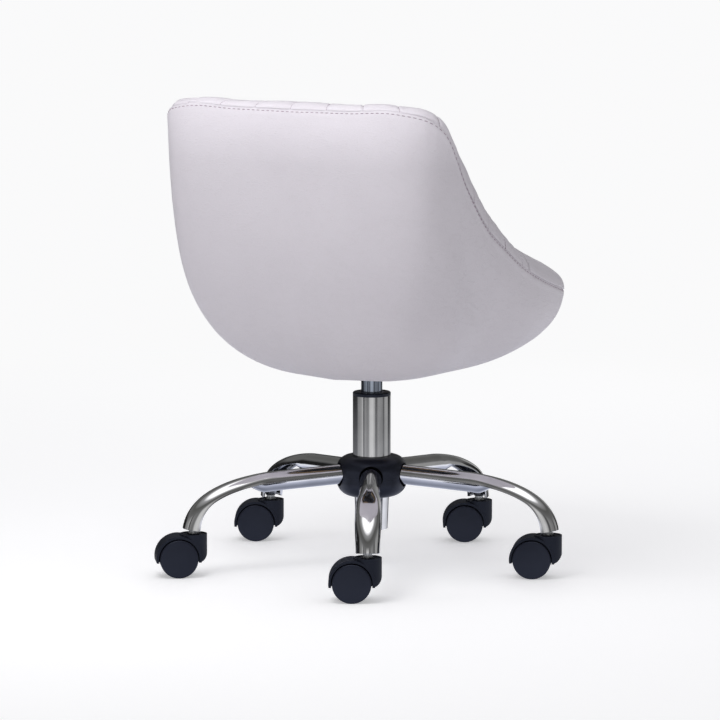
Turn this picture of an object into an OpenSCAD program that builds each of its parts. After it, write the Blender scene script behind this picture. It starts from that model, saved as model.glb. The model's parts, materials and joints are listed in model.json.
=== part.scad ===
// Rolling stylist stool: upholstered tub seat on a gas lift, five-leg chrome star base, twin-wheel casters.
// Millimetres, +Z up. Origin: on the floor, on the gas lift's axis.
// The seat faces -Y, +X is the sitter's left.

/* [Star base] */
// Turn of the star against the seat, degrees from +X to the first leg
base_turn = 121; // [72:1:144]
// Radius of the circle on which the caster stems stand
stem_circle_r = 243; // [236:1:250]
// Height of the legs' middle line where they leave the hub
leg_hub_z = 125.5; // [124:0.5:127]
// Width of the leg tube at the hub
leg_tube_w = 28; // [26:0.5:29]
// Height of the leg tube at the hub
leg_tube_h = 26; // [25:0.5:27]
// Width of the flattened leg at its bend
leg_bend_w = 34; // [31:0.5:35]
// Width of the leg at its tip
leg_tip_w = 31; // [30:0.5:33]

/* [Casters] */
// Wheel diameter
wheel_d = 50; // [49:0.5:51]
// Offset of the wheel axle from the swivel axis
caster_trail = 20; // [19:0.5:21]
// Swivel angle of each caster at rest, degrees from +X
caster_turn = [32, 25, 32, 32, 40]; // [0:1:360]
// Diameter of the caster stem's grip end
stem_d = 11; // [10.5:0.1:11.5]

/* [Gas lift] */
// Outside diameter of the column
column_d = 50; // [49.5:0.1:50.5]
// Height of the column's top edge
column_top_z = 228; // [224:0.5:234]
// Height of the column's lower end
column_low_z = 51; // [50:0.5:52]
// Outside diameter of the pressure tube
tube_d = 28; // [27.8:0.1:28.2]

/* [Seat] */
// Half of the tub's width at the rim
half_width = 222; // [217:1:228]
// Reach of the rim behind the lift's axis
back_reach = 194; // [190:1:200]
// Reach of the rim in front of the lift's axis
front_reach = 244; // [238:1:250]
// Height of the tub's underside
tub_low_z = 254.5; // [254:0.5:256]
// Height of the seam along the top of the back
back_seam_z = 615; // [600:1:630]
// Height of the seat surface at its middle
sit_z = 368; // [362:1:372]
// Thickness of the upholstered rim
rim_thick = 33; // [30:1:38]

/* [Lever] */
// Reach of the height lever from the lift's axis
lever_reach = 182; // [165:1:190]
// Diameter of the lever rod
lever_d = 7; // [6:0.5:7]

/* [Hidden] */

$fn = 64;
RUN = 0.05;          // radial clearance of a running fit
SEAT_GAP = 0.03;     // gap between parts that are wedged or glued together
WELD_GAP = 0.2;      // gap left for a weld round a curved joint
LAYER_GAP = 0.5;     // gap between faceted layers of the tub
star_step = 72;
ball_count = 8;

chrome = [0.80, 0.80, 0.82];
black_plastic = [0.06, 0.06, 0.08];
steel = [0.62, 0.62, 0.64];
vinyl = [0.85, 0.83, 0.86];

// ---------------------------------------------------------------- helpers

function smooth01(u) = let (c = min(max(u, 0), 1)) c * c * (3 - 2 * c);
function mix(a, b, w) = a + (b - a) * w;

// Cubic through (key, value) knots, with slopes taken from each knot's neighbours.
function knot_below(x, t) = min(len(t) - 2, max([for (i = [0:len(t) - 1]) if (t[i][0] <= x) i]));
function knot_slope(t, i) =
    let (a = max(i - 1, 0), b = min(i + 1, len(t) - 1)) (t[b][1] - t[a][1]) / (t[b][0] - t[a][0]);
function curve_at(x, t) =
    let (i = knot_below(x, t), h = t[i + 1][0] - t[i][0], u = min(max((x - t[i][0]) / h, 0), 1),
         m0 = knot_slope(t, i) * h, m1 = knot_slope(t, i + 1) * h)
    (2 * u ^ 3 - 3 * u ^ 2 + 1) * t[i][1] + (u ^ 3 - 2 * u ^ 2 + u) * m0
    + (3 * u ^ 2 - 2 * u ^ 3) * t[i + 1][1] + (u ^ 3 - u ^ 2) * m1;

function bezier(p, u) =
    (1 - u) ^ 3 * p[0] + 3 * u * (1 - u) ^ 2 * p[1] + 3 * u ^ 2 * (1 - u) * p[2] + u ^ 3 * p[3];
function bezier_slope(p, u) =
    3 * (1 - u) ^ 2 * (p[1] - p[0]) + 6 * u * (1 - u) * (p[2] - p[1]) + 3 * u ^ 2 * (p[3] - p[2]);

// One face of a skin as two triangles. Points from number half on run backwards, so their faces are
// split the other way: the two sides of a layer then match the layers next to them.
function split(a, b, c, d, j, half) = j < half ? [[a, b, c], [a, c, d]] : [[a, b, d], [b, c, d]];

// Closed solid from a ring of closed loops: every loop has the same number of points.
module loop_ring(loops, half) {
    n = len(loops);
    m = len(loops[0]);
    skin = [for (i = [0:n - 1], j = [0:m - 1])
        let (a = i * m + j, b = i * m + (j + 1) % m, c = ((i + 1) % n) * m + (j + 1) % m,
             d = ((i + 1) % n) * m + j)
        each split(a, b, c, d, j, half)];
    polyhedron([for (l = loops) each l], skin);
}

// Closed solid from a row of closed loops with a flat face at each end.
module loop_row(loops, half) {
    n = len(loops);
    m = len(loops[0]);
    skin = [for (i = [0:n - 2], j = [0:m - 1])
        let (a = i * m + j, b = i * m + (j + 1) % m)
        each split(a, b, b + m, a + m, j, half)];
    ends = [[for (j = [m - 1:-1:0]) j], [for (j = [0:m - 1]) (n - 1) * m + j]];
    polyhedron([for (l = loops) each l], concat(skin, ends));
}

// Closed solid from paths that run from one top pole to one bottom pole.
module pole_ring(paths, half, top_pole, low_pole) {
    n = len(paths);
    m = len(paths[0]);
    skin = [for (i = [0:n - 1], j = [0:m - 2])
        let (a = i * m + j, d = ((i + 1) % n) * m + j)
        each [for (t = split(a, a + 1, d + 1, d, j, half)) [t[2], t[1], t[0]]]];
    top = [for (i = [0:n - 1]) [n * m, ((i + 1) % n) * m, i * m]];
    low = [for (i = [0:n - 1]) [n * m + 1, i * m + m - 1, ((i + 1) % n) * m + m - 1]];
    polyhedron(concat([for (p = paths) each p], [top_pole, low_pole]), concat(skin, top, low));
}

module ring(r_out, r_in, z_low, z_high) {
    translate([0, 0, z_low]) difference() {
        cylinder(r = r_out, h = z_high - z_low);
        translate([0, 0, -1]) cylinder(r = r_in, h = z_high - z_low + 2);
    }
}

module at_star() {
    for (k = [0:4]) rotate(base_turn + star_step * k) children();
}

// ---------------------------------------------------------------- hub and column

column_r = column_d / 2;
column_wall = 1.8;
column_floor = 4;
taper_start_z = 148;
taper_low_r = 21;
taper_slope = (column_r - taper_low_r) / (taper_start_z - column_low_z);
hub_r = 32;
hub_low_z = 104;
hub_high_z = 143;
cover_r = 46.3;
cover_wall = 2.6;
cover_split_z = 122;
cover_low_z = 95;
cover_high_z = 148.5;
leg_tunnel_r = 15.6;

function column_taper_r(z) = column_r - max(0, taper_start_z - z) * taper_slope;

module hub_ring() {
    color(steel) difference() {
        translate([0, 0, hub_low_z]) cylinder(r = hub_r, h = hub_high_z - hub_low_z);
        translate([0, 0, hub_low_z - 1]) cylinder(
            r1 = column_taper_r(hub_low_z - 1) + SEAT_GAP,
            r2 = column_taper_r(hub_high_z + 1) + SEAT_GAP,
            h = hub_high_z - hub_low_z + 2);
    }
}

// Half section of the hub cover, drawn from rounded steps; inset makes its inner face.
module cover_profile(inset) {
    shoulder = 17;
    foot = 20;
    r = cover_r - inset;
    intersection() {
        translate([0, cover_low_z + inset]) square([r, cover_high_z - cover_low_z - 2 * inset]);
        union() {
            translate([0, cover_low_z + inset]) square([r - foot, cover_high_z - cover_low_z - 2 * inset]);
            translate([r - shoulder, cover_high_z - inset - shoulder]) circle(r = shoulder);
            translate([r - foot, cover_low_z + inset + foot]) circle(r = foot);
            translate([0, cover_low_z + inset + foot])
                square([r, cover_high_z - cover_low_z - 2 * inset - foot - shoulder]);
            translate([0, cover_high_z - inset - shoulder - 1]) square([r - shoulder, shoulder + 1]);
        }
    }
}

module hub_cover(z_from, z_to) {
    color(black_plastic) difference() {
        intersection() {
            rotate_extrude() cover_profile(0);
            translate([0, 0, z_from]) cylinder(r = cover_r + 5, h = z_to - z_from);
        }
        rotate_extrude() cover_profile(cover_wall);
        translate([0, 0, z_from - 1]) cylinder(r = column_r + 0.4, h = z_to - z_from + 2);
        at_star() translate([hub_r - 12, 0, leg_hub_z]) rotate([0, 90 + 3, 0])
            cylinder(r = leg_tunnel_r, h = 60);
    }
}

module column_tube() {
    color(chrome) difference() {
        union() {
            translate([0, 0, taper_start_z]) cylinder(r = column_r, h = column_top_z - taper_start_z);
            translate([0, 0, column_low_z])
                cylinder(r1 = taper_low_r, r2 = column_r, h = taper_start_z - column_low_z);
        }
        translate([0, 0, taper_start_z - 0.01])
            cylinder(r = column_r - column_wall, h = column_top_z - taper_start_z + 1);
        translate([0, 0, column_low_z + column_floor]) cylinder(
            r1 = column_taper_r(column_low_z + column_floor) - column_wall,
            r2 = column_r - column_wall, h = taper_start_z - column_low_z - column_floor);
        translate([0, 0, column_low_z - 1]) cylinder(r = rod_r + 0.3, h = column_floor + 2);
    }
}

bush_flange_r = column_r;
bush_flange_h = 4.8;
bush_length = 62;
tube_r = tube_d / 2;

module guide_bush() {
    color(black_plastic) difference() {
        union() {
            translate([0, 0, column_top_z]) cylinder(r = bush_flange_r, h = bush_flange_h - 1);
            translate([0, 0, column_top_z + bush_flange_h - 1])
                cylinder(r1 = bush_flange_r, r2 = bush_flange_r - 1, h = 1);
            translate([0, 0, column_top_z - bush_length])
                cylinder(r = column_r - column_wall - SEAT_GAP, h = bush_length);
        }
        translate([0, 0, column_top_z - bush_length - 1])
            cylinder(r = tube_r + RUN, h = bush_length + bush_flange_h + 2);
    }
}

// ---------------------------------------------------------------- gas lift, inside

rod_r = 5;
race_r = 12;
race_h = 2;
ball_r = 2;
ball_circle_r = 9;
race_low_z = column_low_z + column_floor + SEAT_GAP;
ball_z = race_low_z + race_h + ball_r;
race_high_z = ball_z + ball_r + SEAT_GAP;
shoulder_z = race_high_z + race_h + SEAT_GAP;
shoulder_h = 3;
stop_h = 3.5;
tube_low_z = shoulder_z + shoulder_h + stop_h + 0.5;
tube_high_z = 279;
tube_wall = 2;
tube_taper_h = 26;
tube_taper_drop = 0.8;
piston_z = 236;
piston_h = 10;
valve_h = 22;

module thrust_race(z) {
    color(steel) ring(race_r, rod_r + 0.2, z, z + race_h);
}

module thrust_lower_race() { thrust_race(race_low_z); }
module thrust_upper_race() { thrust_race(race_high_z); }

module thrust_balls() {
    color(chrome) for (k = [0:ball_count - 1])
        rotate(360 / ball_count * k) translate([ball_circle_r, 0, ball_z])
            sphere(r = ball_r - SEAT_GAP / 2);
}

module piston_rod() {
    groove_z = column_low_z - 2.2;
    color(steel) difference() {
        union() {
            translate([0, 0, column_low_z - 4]) cylinder(r = rod_r, h = piston_z - column_low_z + 4);
            translate([0, 0, shoulder_z]) cylinder(r = 7.5, h = shoulder_h);
        }
        ring(rod_r + 1, rod_r - 1, groove_z, groove_z + 1.2);
    }
}

module rod_retaining_clip() {
    color(steel) difference() {
        ring(8, rod_r - 1 + SEAT_GAP, column_low_z - 2.1, column_low_z - 1.1);
        translate([0, -2.5, column_low_z - 3]) cube([12, 5, 4]);
    }
}

module bump_stop() {
    color(black_plastic)
        ring(11, rod_r + SEAT_GAP, shoulder_z + shoulder_h + SEAT_GAP, shoulder_z + shoulder_h + stop_h);
}

module piston() {
    color(steel) difference() {
        translate([0, 0, piston_z + SEAT_GAP]) cylinder(r = tube_r - tube_wall - RUN, h = piston_h);
        ring(tube_r, tube_r - tube_wall - 1.2, piston_z + 4, piston_z + 6);
    }
}

module pressure_tube() {
    color(steel) difference() {
        union() {
            translate([0, 0, tube_low_z]) cylinder(r = tube_r, h = tube_high_z - tube_taper_h - tube_low_z);
            translate([0, 0, tube_high_z - tube_taper_h])
                cylinder(r1 = tube_r, r2 = tube_r - tube_taper_drop, h = tube_taper_h);
        }
        translate([0, 0, tube_low_z - 1])
            cylinder(r = tube_r - tube_wall, h = tube_high_z - tube_low_z + 2);
    }
}

module rod_guide() {
    color(black_plastic)
        ring(tube_r - tube_wall - SEAT_GAP, rod_r + RUN, tube_low_z, tube_low_z + 14);
}

valve_pin_r = 3;
valve_pin_top_z = tube_high_z + 5;

module valve_block() {
    color(steel)
        ring(tube_r - tube_wall - SEAT_GAP, valve_pin_r + RUN, tube_high_z - valve_h, tube_high_z - 1);
}

module valve_pin() {
    color(steel) {
        translate([0, 0, tube_high_z - valve_h + 5]) cylinder(r = valve_pin_r, h = valve_h - 5 + 4);
        translate([0, 0, tube_high_z + 4]) cylinder(r1 = valve_pin_r, r2 = valve_pin_r - 0.8, h = 1);
    }
}

// ---------------------------------------------------------------- star legs

leg_root_r = hub_r + WELD_GAP;
leg_bend_r = 140;
leg_tip_r = 257;
leg_tip_z = 63;
leg_wall = 1.8;
leg_pressed_h = 12.5;    // equator to crown of the pressed section
leg_pressed_web = 4.4;   // thickness of the pressed section at its middle
leg_tip_h = 20;
leg_press_from = 148;
leg_press_to = 190;
leg_stations = 20;
leg_sides = 16;
leg_void_stations = 8;
leg_top_drop = 6;        // fall of the crown line from the hub to the bend

// Crown line of the leg in its own plane: [radius, height], straight and then a bend down to the tip.
leg_crown_bend = [[leg_bend_r, leg_hub_z + leg_tube_h / 2 - leg_top_drop],
                  [200, 126], [250, 106], [leg_tip_r, leg_tip_z]];
leg_straight_share = 0.4;

function leg_crown(s) = s < leg_straight_share
    ? mix([leg_root_r, leg_hub_z + leg_tube_h / 2], leg_crown_bend[0], s / leg_straight_share)
    : bezier(leg_crown_bend, (s - leg_straight_share) / (1 - leg_straight_share));
function leg_run(s) =
    let (d = s < leg_straight_share
        ? leg_crown_bend[0] - [leg_root_r, leg_hub_z + leg_tube_h / 2]
        : bezier_slope(leg_crown_bend, (s - leg_straight_share) / (1 - leg_straight_share)))
    d / norm(d);
function pressed(s) = smooth01((leg_crown(s)[0] - leg_press_from) / (leg_press_to - leg_press_from));
function tipped(s) = smooth01((s - 0.72) / 0.28);
function leg_half_w(s) = mix(mix(leg_tube_w, leg_bend_w, pressed(s)), leg_tip_w, tipped(s)) / 2;
function leg_rise(s) = mix(mix(leg_tube_h / 2, leg_pressed_h, pressed(s)), leg_tip_h, tipped(s));
// Height of the section's underside against its equator: below it for the tube, above it once pressed.
function leg_under(s) =
    mix(-leg_tube_h / 2, leg_rise(s) - leg_pressed_web + 0.4 * tipped(s), pressed(s));
function leg_lip(s) = 3.2 * pressed(s);

// Point of the leg's section: a runs round from one equator over the crown and back underneath.
function leg_point(s, a, inset) =
    let (c = leg_crown(s), t = leg_run(s), n = [-t[1], t[0]],
         w = leg_half_w(s) - inset,
         over = a <= 180,
         across = over ? w * cos(a) : (w - leg_lip(s)) * cos(a),
         under = leg_under(s) + (pressed(s) < 0.5 ? inset : 0),
         up = over ? (leg_rise(s) - inset) * sin(a) : -under * sin(a),
         place = c + n * (up - leg_rise(s)),
         root = s <= 0 ? sqrt(max(leg_root_r ^ 2 - across ^ 2, 0)) : place[0])
    [root, across, place[1]];

function leg_loop(s, inset = 0) =
    [for (j = [0:leg_sides - 1]) leg_point(s, 360 / leg_sides * j, inset)];

module leg_body() {
    outer = [for (i = [0:leg_stations]) leg_loop(i / leg_stations)];
    void = [for (i = [0:leg_void_stations]) leg_loop(i / leg_stations, leg_wall)];
    n = len(outer);
    m = leg_sides;
    v0 = n * m;
    nv = len(void);
    skin = [for (i = [0:n - 2], j = [0:m - 1])
        let (a = i * m + j, b = i * m + (j + 1) % m) [a, a + m, b + m, b]];
    hollow = [for (i = [0:nv - 2], j = [0:m - 1])
        let (a = v0 + i * m + j, b = v0 + i * m + (j + 1) % m) [a, b, b + m, a + m]];
    root = [for (j = [0:m - 1]) let (k = (j + 1) % m) [j, k, v0 + k, v0 + j]];
    void_end = [[for (j = [0:m - 1]) v0 + (nv - 1) * m + j]];
    // The tip's face spans a channel, so it is laid as quads between the crown side and the underside.
    h = m / 2;
    t0 = (n - 1) * m;
    tip = [for (j = [0:h - 1])
        let (a = t0 + j, b = t0 + j + 1, c = t0 + (m - j - 1) % m, d = t0 + (m - j) % m)
        j == 0 ? [a, c, b] : j == h - 1 ? [a, d, b] : [a, d, c, b]];
    polyhedron(concat([for (l = outer) each l], [for (l = void) each l]),
               concat(skin, hollow, root, void_end, tip));
}

module star_leg(k) {
    color(chrome) rotate(base_turn + star_step * (k - 1)) difference() {
        leg_body();
        translate([stem_circle_r, 0, 0]) socket_body(SEAT_GAP);
    }
}

// ---------------------------------------------------------------- caster sockets and stems

stem_r = stem_d / 2;
socket_r = 9.6;
socket_low_z = 62;
socket_high_z = 80;
socket_mouth_r = 6.9;
socket_top_r = 6.6;
stem_high_z = 78;
pivot_r = 4;
pivot_low_z = 33;
collar_r = 7.5;
hood_top_z = 56;
collar_z = hood_top_z + 0.3;

// Turned socket that fits inside the leg's tip: coned below, and again above to clear the crown.
module socket_body(gap = 0) {
    foot_z = socket_low_z + 7;
    waist_z = socket_high_z - 8;
    translate([0, 0, socket_low_z])
        cylinder(r1 = socket_mouth_r + gap, r2 = socket_r + gap, h = foot_z - socket_low_z);
    translate([0, 0, foot_z]) cylinder(r = socket_r + gap, h = waist_z - foot_z);
    translate([0, 0, waist_z])
        cylinder(r1 = socket_r + gap, r2 = socket_top_r + gap, h = socket_high_z - waist_z + gap);
}

module caster_sockets() {
    color(steel) at_star() translate([stem_circle_r, 0, 0]) difference() {
        socket_body();
        translate([0, 0, socket_low_z - 1])
            cylinder(r = stem_r + RUN, h = stem_high_z + 1.2 - socket_low_z + 1);
    }
}

module caster_stems() {
    color(steel) at_star() translate([stem_circle_r, 0, 0]) difference() {
        union() {
            translate([0, 0, pivot_low_z]) cylinder(r = pivot_r, h = collar_z - pivot_low_z);
            translate([0, 0, collar_z]) cylinder(r = collar_r, h = 2.2);
            translate([0, 0, collar_z + 2.2]) cylinder(r = stem_r, h = stem_high_z - collar_z - 3.2);
            translate([0, 0, stem_high_z - 1]) cylinder(r1 = stem_r, r2 = stem_r - 1, h = 1);
        }
        ring(stem_r + 1, stem_r - 0.9, stem_high_z - 7, stem_high_z - 3);
    }
}

module stem_grip_rings() {
    color(steel) at_star() translate([stem_circle_r, 0, 0]) difference() {
        ring(stem_r, stem_r - 0.9 + SEAT_GAP, stem_high_z - 6.8, stem_high_z - 3.2);
        translate([0, -1, stem_high_z - 8]) cube([10, 2, 6]);
    }
}

// ---------------------------------------------------------------- casters

wheel_r = wheel_d / 2;
wheel_in_y = 6.3;
wheel_out_y = 21.5;
hood_half_w = 18;
hood_out_r = 29.6;
hood_in_r = 26.4;
hood_web = 5.5;
hood_boss_r = 18;
hood_heel_r = 12.5;
hood_dish_r = 15.4;
hood_dish_depth = 1;
axle_r = 3;
axle_half = 19;

module at_caster(k) {
    rotate(base_turn + star_step * (k - 1)) translate([stem_circle_r, 0, 0])
        rotate(caster_turn[k - 1] - base_turn - star_step * (k - 1)) children();
}

// Side view of the hood's boss, with its heel rounded.
module boss_side(low_z) {
    heel = [hood_heel_r - hood_boss_r, low_z + hood_heel_r];
    translate(heel) circle(r = hood_heel_r);
    translate([-hood_boss_r, heel[1]]) square([2 * hood_boss_r, hood_top_z - heel[1]]);
    translate([heel[0], low_z]) square([hood_boss_r - heel[0], hood_heel_r + 1]);
}

// Frame of a caster: swivel axis on Z, axle at +X, wheels either side in Y.
module caster_hood(k) {
    mouth = wheel_r - 5;
    color(black_plastic) at_caster(k) difference() {
        union() {
            intersection() {
                translate([caster_trail, 0, wheel_r]) rotate([90, 0, 0])
                    cylinder(r = hood_out_r, h = 2 * hood_half_w, center = true);
                translate([caster_trail - 40, -30, mouth]) cube([80, 60, 60]);
            }
            intersection() {
                translate([0, 0, mouth]) cylinder(r = hood_boss_r, h = hood_top_z - mouth);
                translate([0, 30, 0]) rotate([90, 0, 0]) linear_extrude(60) boss_side(mouth);
            }
        }
        for (side = [-1, 1])
            translate([caster_trail, side * (hood_web + 20), wheel_r]) rotate([90, 0, 0])
                cylinder(r = hood_in_r, h = 40, center = true);
        translate([0, 0, pivot_low_z - 0.4]) cylinder(r = pivot_r + RUN, h = 60);
        ring(hood_dish_r, collar_r + 1.5, hood_top_z - hood_dish_depth, hood_top_z + 1);
        translate([caster_trail, 0, wheel_r]) rotate([90, 0, 0])
            cylinder(r = axle_r + SEAT_GAP, h = 60, center = true);
    }
}

module caster_axle(k) {
    color(steel) at_caster(k) translate([caster_trail, 0, wheel_r]) rotate([90, 0, 0])
        cylinder(r = axle_r, h = 2 * axle_half, center = true);
}

// Half section of a wheel: x is radius, y is distance from the caster's middle plane.
module wheel_profile() {
    rim_w = 3.2;
    face_t = 2.6;
    shoulder = 2.2;
    difference() {
        union() {
            translate([0, wheel_in_y]) square([wheel_r, wheel_out_y - wheel_in_y - shoulder]);
            translate([0, wheel_out_y - shoulder - 0.01]) square([wheel_r - shoulder, shoulder + 0.01]);
            translate([wheel_r - shoulder, wheel_out_y - shoulder]) circle(r = shoulder);
        }
        translate([0, wheel_in_y - 1]) square([axle_r + RUN, axle_half + RUN * 2 - wheel_in_y + 1]);
        translate([axle_r + 3.5, wheel_in_y - 1])
            square([wheel_r - rim_w - axle_r - 3.5, wheel_out_y - face_t - wheel_in_y + 1]);
    }
}

module caster_wheel(k, side) {
    color(black_plastic) at_caster(k) translate([caster_trail, 0, wheel_r])
        rotate([side > 0 ? -90 : 90, 0, 0]) rotate_extrude() wheel_profile();
}

// ---------------------------------------------------------------- seat fittings

lever_r = lever_d / 2;
arm_z = valve_pin_top_z + lever_r + 0.3;
pivot_z = arm_z;
plate_z = 292.6;
plate_t = 2.6;
plate_x = 150;
plate_y = 112;
bolt_x = 120;
bolt_y = 84;
bolt_r = 4;
board_low_z = 296;
board_high_z = 308;
tee_barrel_r = 5.4;
socket_top_z = tube_high_z - 1;
cheek_y = 19.5;
cheek_low_z = 262;
pivot_x = 42;
pin_r = 2;

module at_bolts() {
    for (x = [-bolt_x / 2, bolt_x / 2], y = [-bolt_y / 2, bolt_y / 2]) translate([x, y, 0]) children();
}

module rounded_plate(x, y, r, h) {
    linear_extrude(h) union() {
        square([x - 2 * r, y], center = true);
        square([x, y - 2 * r], center = true);
        for (sx = [-1, 1], sy = [-1, 1]) translate([sx * (x / 2 - r), sy * (y / 2 - r)]) circle(r = r);
    }
}

module taper_socket() {
    low_z = tub_low_z - 2;
    color(steel) difference() {
        translate([0, 0, low_z]) cylinder(r = 17.5, h = socket_top_z - low_z);
        translate([0, 0, low_z - 1]) cylinder(
            r1 = tube_r + SEAT_GAP
                + tube_taper_drop * (tube_high_z - tube_taper_h - low_z + 1) / tube_taper_h,
            r2 = tube_r - tube_taper_drop + SEAT_GAP + tube_taper_drop / tube_taper_h,
            h = socket_top_z - low_z + 1.001);
    }
}

module seat_plate() {
    color(steel) difference() {
        union() {
            translate([0, 0, plate_z]) rounded_plate(plate_x, plate_y, 12, plate_t);
            for (side = [-1, 1]) translate([-55, side * cheek_y - (side > 0 ? 0 : 2.4), cheek_low_z])
                cube([110, 2.4, plate_z - cheek_low_z + 0.5]);
            translate([-55, -cheek_y - 0.5, cheek_low_z]) cube([110, 2 * cheek_y + 1, 2.4]);
        }
        translate([0, 0, cheek_low_z - 1]) cylinder(r = 17.5 + SEAT_GAP, h = 5);
        at_bolts() translate([0, 0, plate_z - 1]) cylinder(r = bolt_r + 0.4, h = plate_t + 2);
        translate([pivot_x, 0, pivot_z]) rotate([90, 0, 0])
            cylinder(r = pin_r + SEAT_GAP, h = 2 * cheek_y + 20, center = true);
        translate([pivot_x + 4, -8, cheek_low_z - 1]) cube([40, 16, 5]);
    }
}

module lever_pivot_pin() {
    color(steel) translate([pivot_x, 0, pivot_z]) rotate([90, 0, 0]) {
        cylinder(r = pin_r, h = 2 * cheek_y + 8, center = true);
        for (side = [-1, 1]) translate([0, 0, side * (cheek_y + 3.6)])
            cylinder(r = pin_r + 1.4, h = 1.6, center = true);
    }
}

module seat_bolts() {
    color(steel) at_bolts() {
        translate([0, 0, plate_z - 1.6 - 4.5]) cylinder(r = 6.5, h = 4.5, $fn = 6);
        translate([0, 0, plate_z - 1.7]) cylinder(r = bolt_r, h = 13);
    }
}

module bolt_washers() {
    color(steel) at_bolts() ring(9, bolt_r + 0.3, plate_z - 1.57, plate_z - SEAT_GAP);
}

module tee_nuts() {
    color(steel) at_bolts() difference() {
        union() {
            translate([0, 0, board_low_z + 1]) cylinder(r = tee_barrel_r, h = board_high_z - board_low_z);
            translate([0, 0, board_high_z + SEAT_GAP]) cylinder(r = 10, h = 1.4);
        }
        translate([0, 0, board_low_z]) cylinder(r = bolt_r + SEAT_GAP, h = 20);
    }
}

// ---------------------------------------------------------------- height lever

lever_boss_r = 4.4;
lever_bend_r = 9;
grip_r = 7.5;
grip_length = 42;
lever_low_z = 253.5;
// Middle line of the lever, [x, z]: over the valve pin, down out of the recess and out under the tub.
lever_path = [[-6, arm_z], [60, arm_z], [82, lever_low_z], [110, lever_low_z],
              [lever_reach, lever_low_z + (lever_reach - 110) * 0.25]];

function heading(a, b) = atan2(b[1] - a[1], b[0] - a[0]);
function along(a) = [cos(a), sin(a)];

// Stations [point, heading] along a path in the XZ plane whose corners are bent to a radius.
bend_steps = 4;
rod_sides = 16;
function bent_path(path, bend) =
    let (n = len(path), h = [for (i = [0:n - 2]) heading(path[i], path[i + 1])])
    concat([[path[0], h[0]]],
           [for (i = [1:n - 2])
               let (turn = h[i] - h[i - 1], side = turn > 0 ? 90 : -90,
                    c = path[i] - bend * tan(abs(turn) / 2) * along(h[i - 1])
                        + bend * along(h[i - 1] + side))
               for (k = [0:bend_steps])
                   let (g = mix(h[i - 1], h[i], k / bend_steps)) [c - bend * along(g + side), g]],
           [[path[n - 1], h[n - 2]]]);

module bent_rod(path, r, bend) {
    loop_row([for (s = bent_path(path, bend))
        [for (j = [0:rod_sides - 1])
            let (t = 360 / rod_sides * j, up = r * cos(t))
            [s[0][0] - up * sin(s[1]), r * sin(t), s[0][1] + up * cos(s[1])]]], rod_sides);
}

module lever_rod() {
    color(steel) difference() {
        union() {
            bent_rod(lever_path, lever_r, lever_bend_r);
            translate([pivot_x, 0, arm_z]) rotate([90, 0, 0])
                cylinder(r = lever_boss_r, h = 10, center = true);
        }
        translate([pivot_x, 0, pivot_z]) rotate([90, 0, 0])
            cylinder(r = pin_r + RUN, h = 30, center = true);
    }
}

module lever_grip() {
    n = len(lever_path);
    tip = lever_path[n - 1];
    rise = heading(lever_path[n - 2], tip);
    color(black_plastic) translate([tip[0], 0, tip[1]]) rotate([0, 90 - rise, 0])
    rotate_extrude() difference() {
        union() {
            translate([0, 5 - grip_length]) square([grip_r, grip_length - 3]);
            intersection() {
                translate([0, 2]) circle(r = grip_r);
                translate([0, 1.9]) square([20, 20]);
            }
        }
        translate([0, -grip_length]) square([lever_r + SEAT_GAP, grip_length + SEAT_GAP]);
    }
}

// ---------------------------------------------------------------- tub form

plan_square_back = 6.1;
plan_square_front = 2.95;
recess_r = 92;
crease_angle = 97;
crease_half = 0.006;
phi_steps = 60;
skin_steps = 11;

// Height of the rim seam, against the angle from the middle of the back.
rim_z = [[0, back_seam_z], [24, back_seam_z + 0.7], [41, back_seam_z + 1], [52, back_seam_z - 21],
         [60, back_seam_z - 91], [70, back_seam_z - 145], [82, back_seam_z - 179], [96, back_seam_z - 210],
         [115, back_seam_z - 237], [140, back_seam_z - 255.5], [180, back_seam_z - 258.5]];
belly_square = [[0, 4.05], [60, 2.97], [120, 2.31], [180, 1.6]];
sit_square = [[0, 5], [60, 4.2], [110, 3], [180, 2.6]];
// How far the padded rim stands above its seam, and how much it falls away like a seat's front edge.
roll_rise = [[0, 9], [40, 7.5], [52, 15], [60, 30], [72, 31], [84, 30], [96, 32], [115, 32.5], [140, 29.5],
             [180, 29.5]];
function fall_away(a) = smooth01((abs(a) - 62) / 40);
function pad_thick(a) = rim_thick + 14 * fall_away(a);

function plan_r(a) =
    let (w = smooth01((abs(a) - 60) / 60), n = mix(plan_square_back, plan_square_front, w),
         reach = cos(a) >= 0 ? back_reach : front_reach)
    (abs(sin(a) / half_width) ^ n + abs(cos(a) / reach) ^ n) ^ (-1 / n);

function at_plan(a, r, z) = [-sin(a) * r, cos(a) * r, z];
function superarc(n, u) =
    let (s = sin(90 * u), c = cos(90 * u), q = (s ^ n + c ^ n) ^ (1 / n)) [s / q, 1 - c / q];
function arc_place(n, share) = atan2(share, (1 - share ^ n) ^ (1 / n)) / 90;

// A shell layer, d inside the tub's outer face; u runs from the pole (0) to the rim (1).
function shell_point(a, u, d) =
    let (q = superarc(lookup(abs(a), belly_square), u))
    at_plan(a, (plan_r(a) - d) * q[0], tub_low_z + d + (curve_at(abs(a), rim_z) - tub_low_z - d) * q[1]);
function shell_start(a, d) = arc_place(lookup(abs(a), belly_square), recess_r / (plan_r(a) - d));

// The sitting face, s under its surface.
function sit_point(a, u, s) =
    let (q = superarc(lookup(abs(a), sit_square), u), f = fall_away(a), z1 = curve_at(abs(a), rim_z),
         edge = z1 + (curve_at(abs(a), roll_rise) - s) * f)
    at_plan(a, (plan_r(a) - pad_thick(a) + s * (1 - f)) * q[0], sit_z - s + (edge - sit_z + s) * q[1]);

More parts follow.
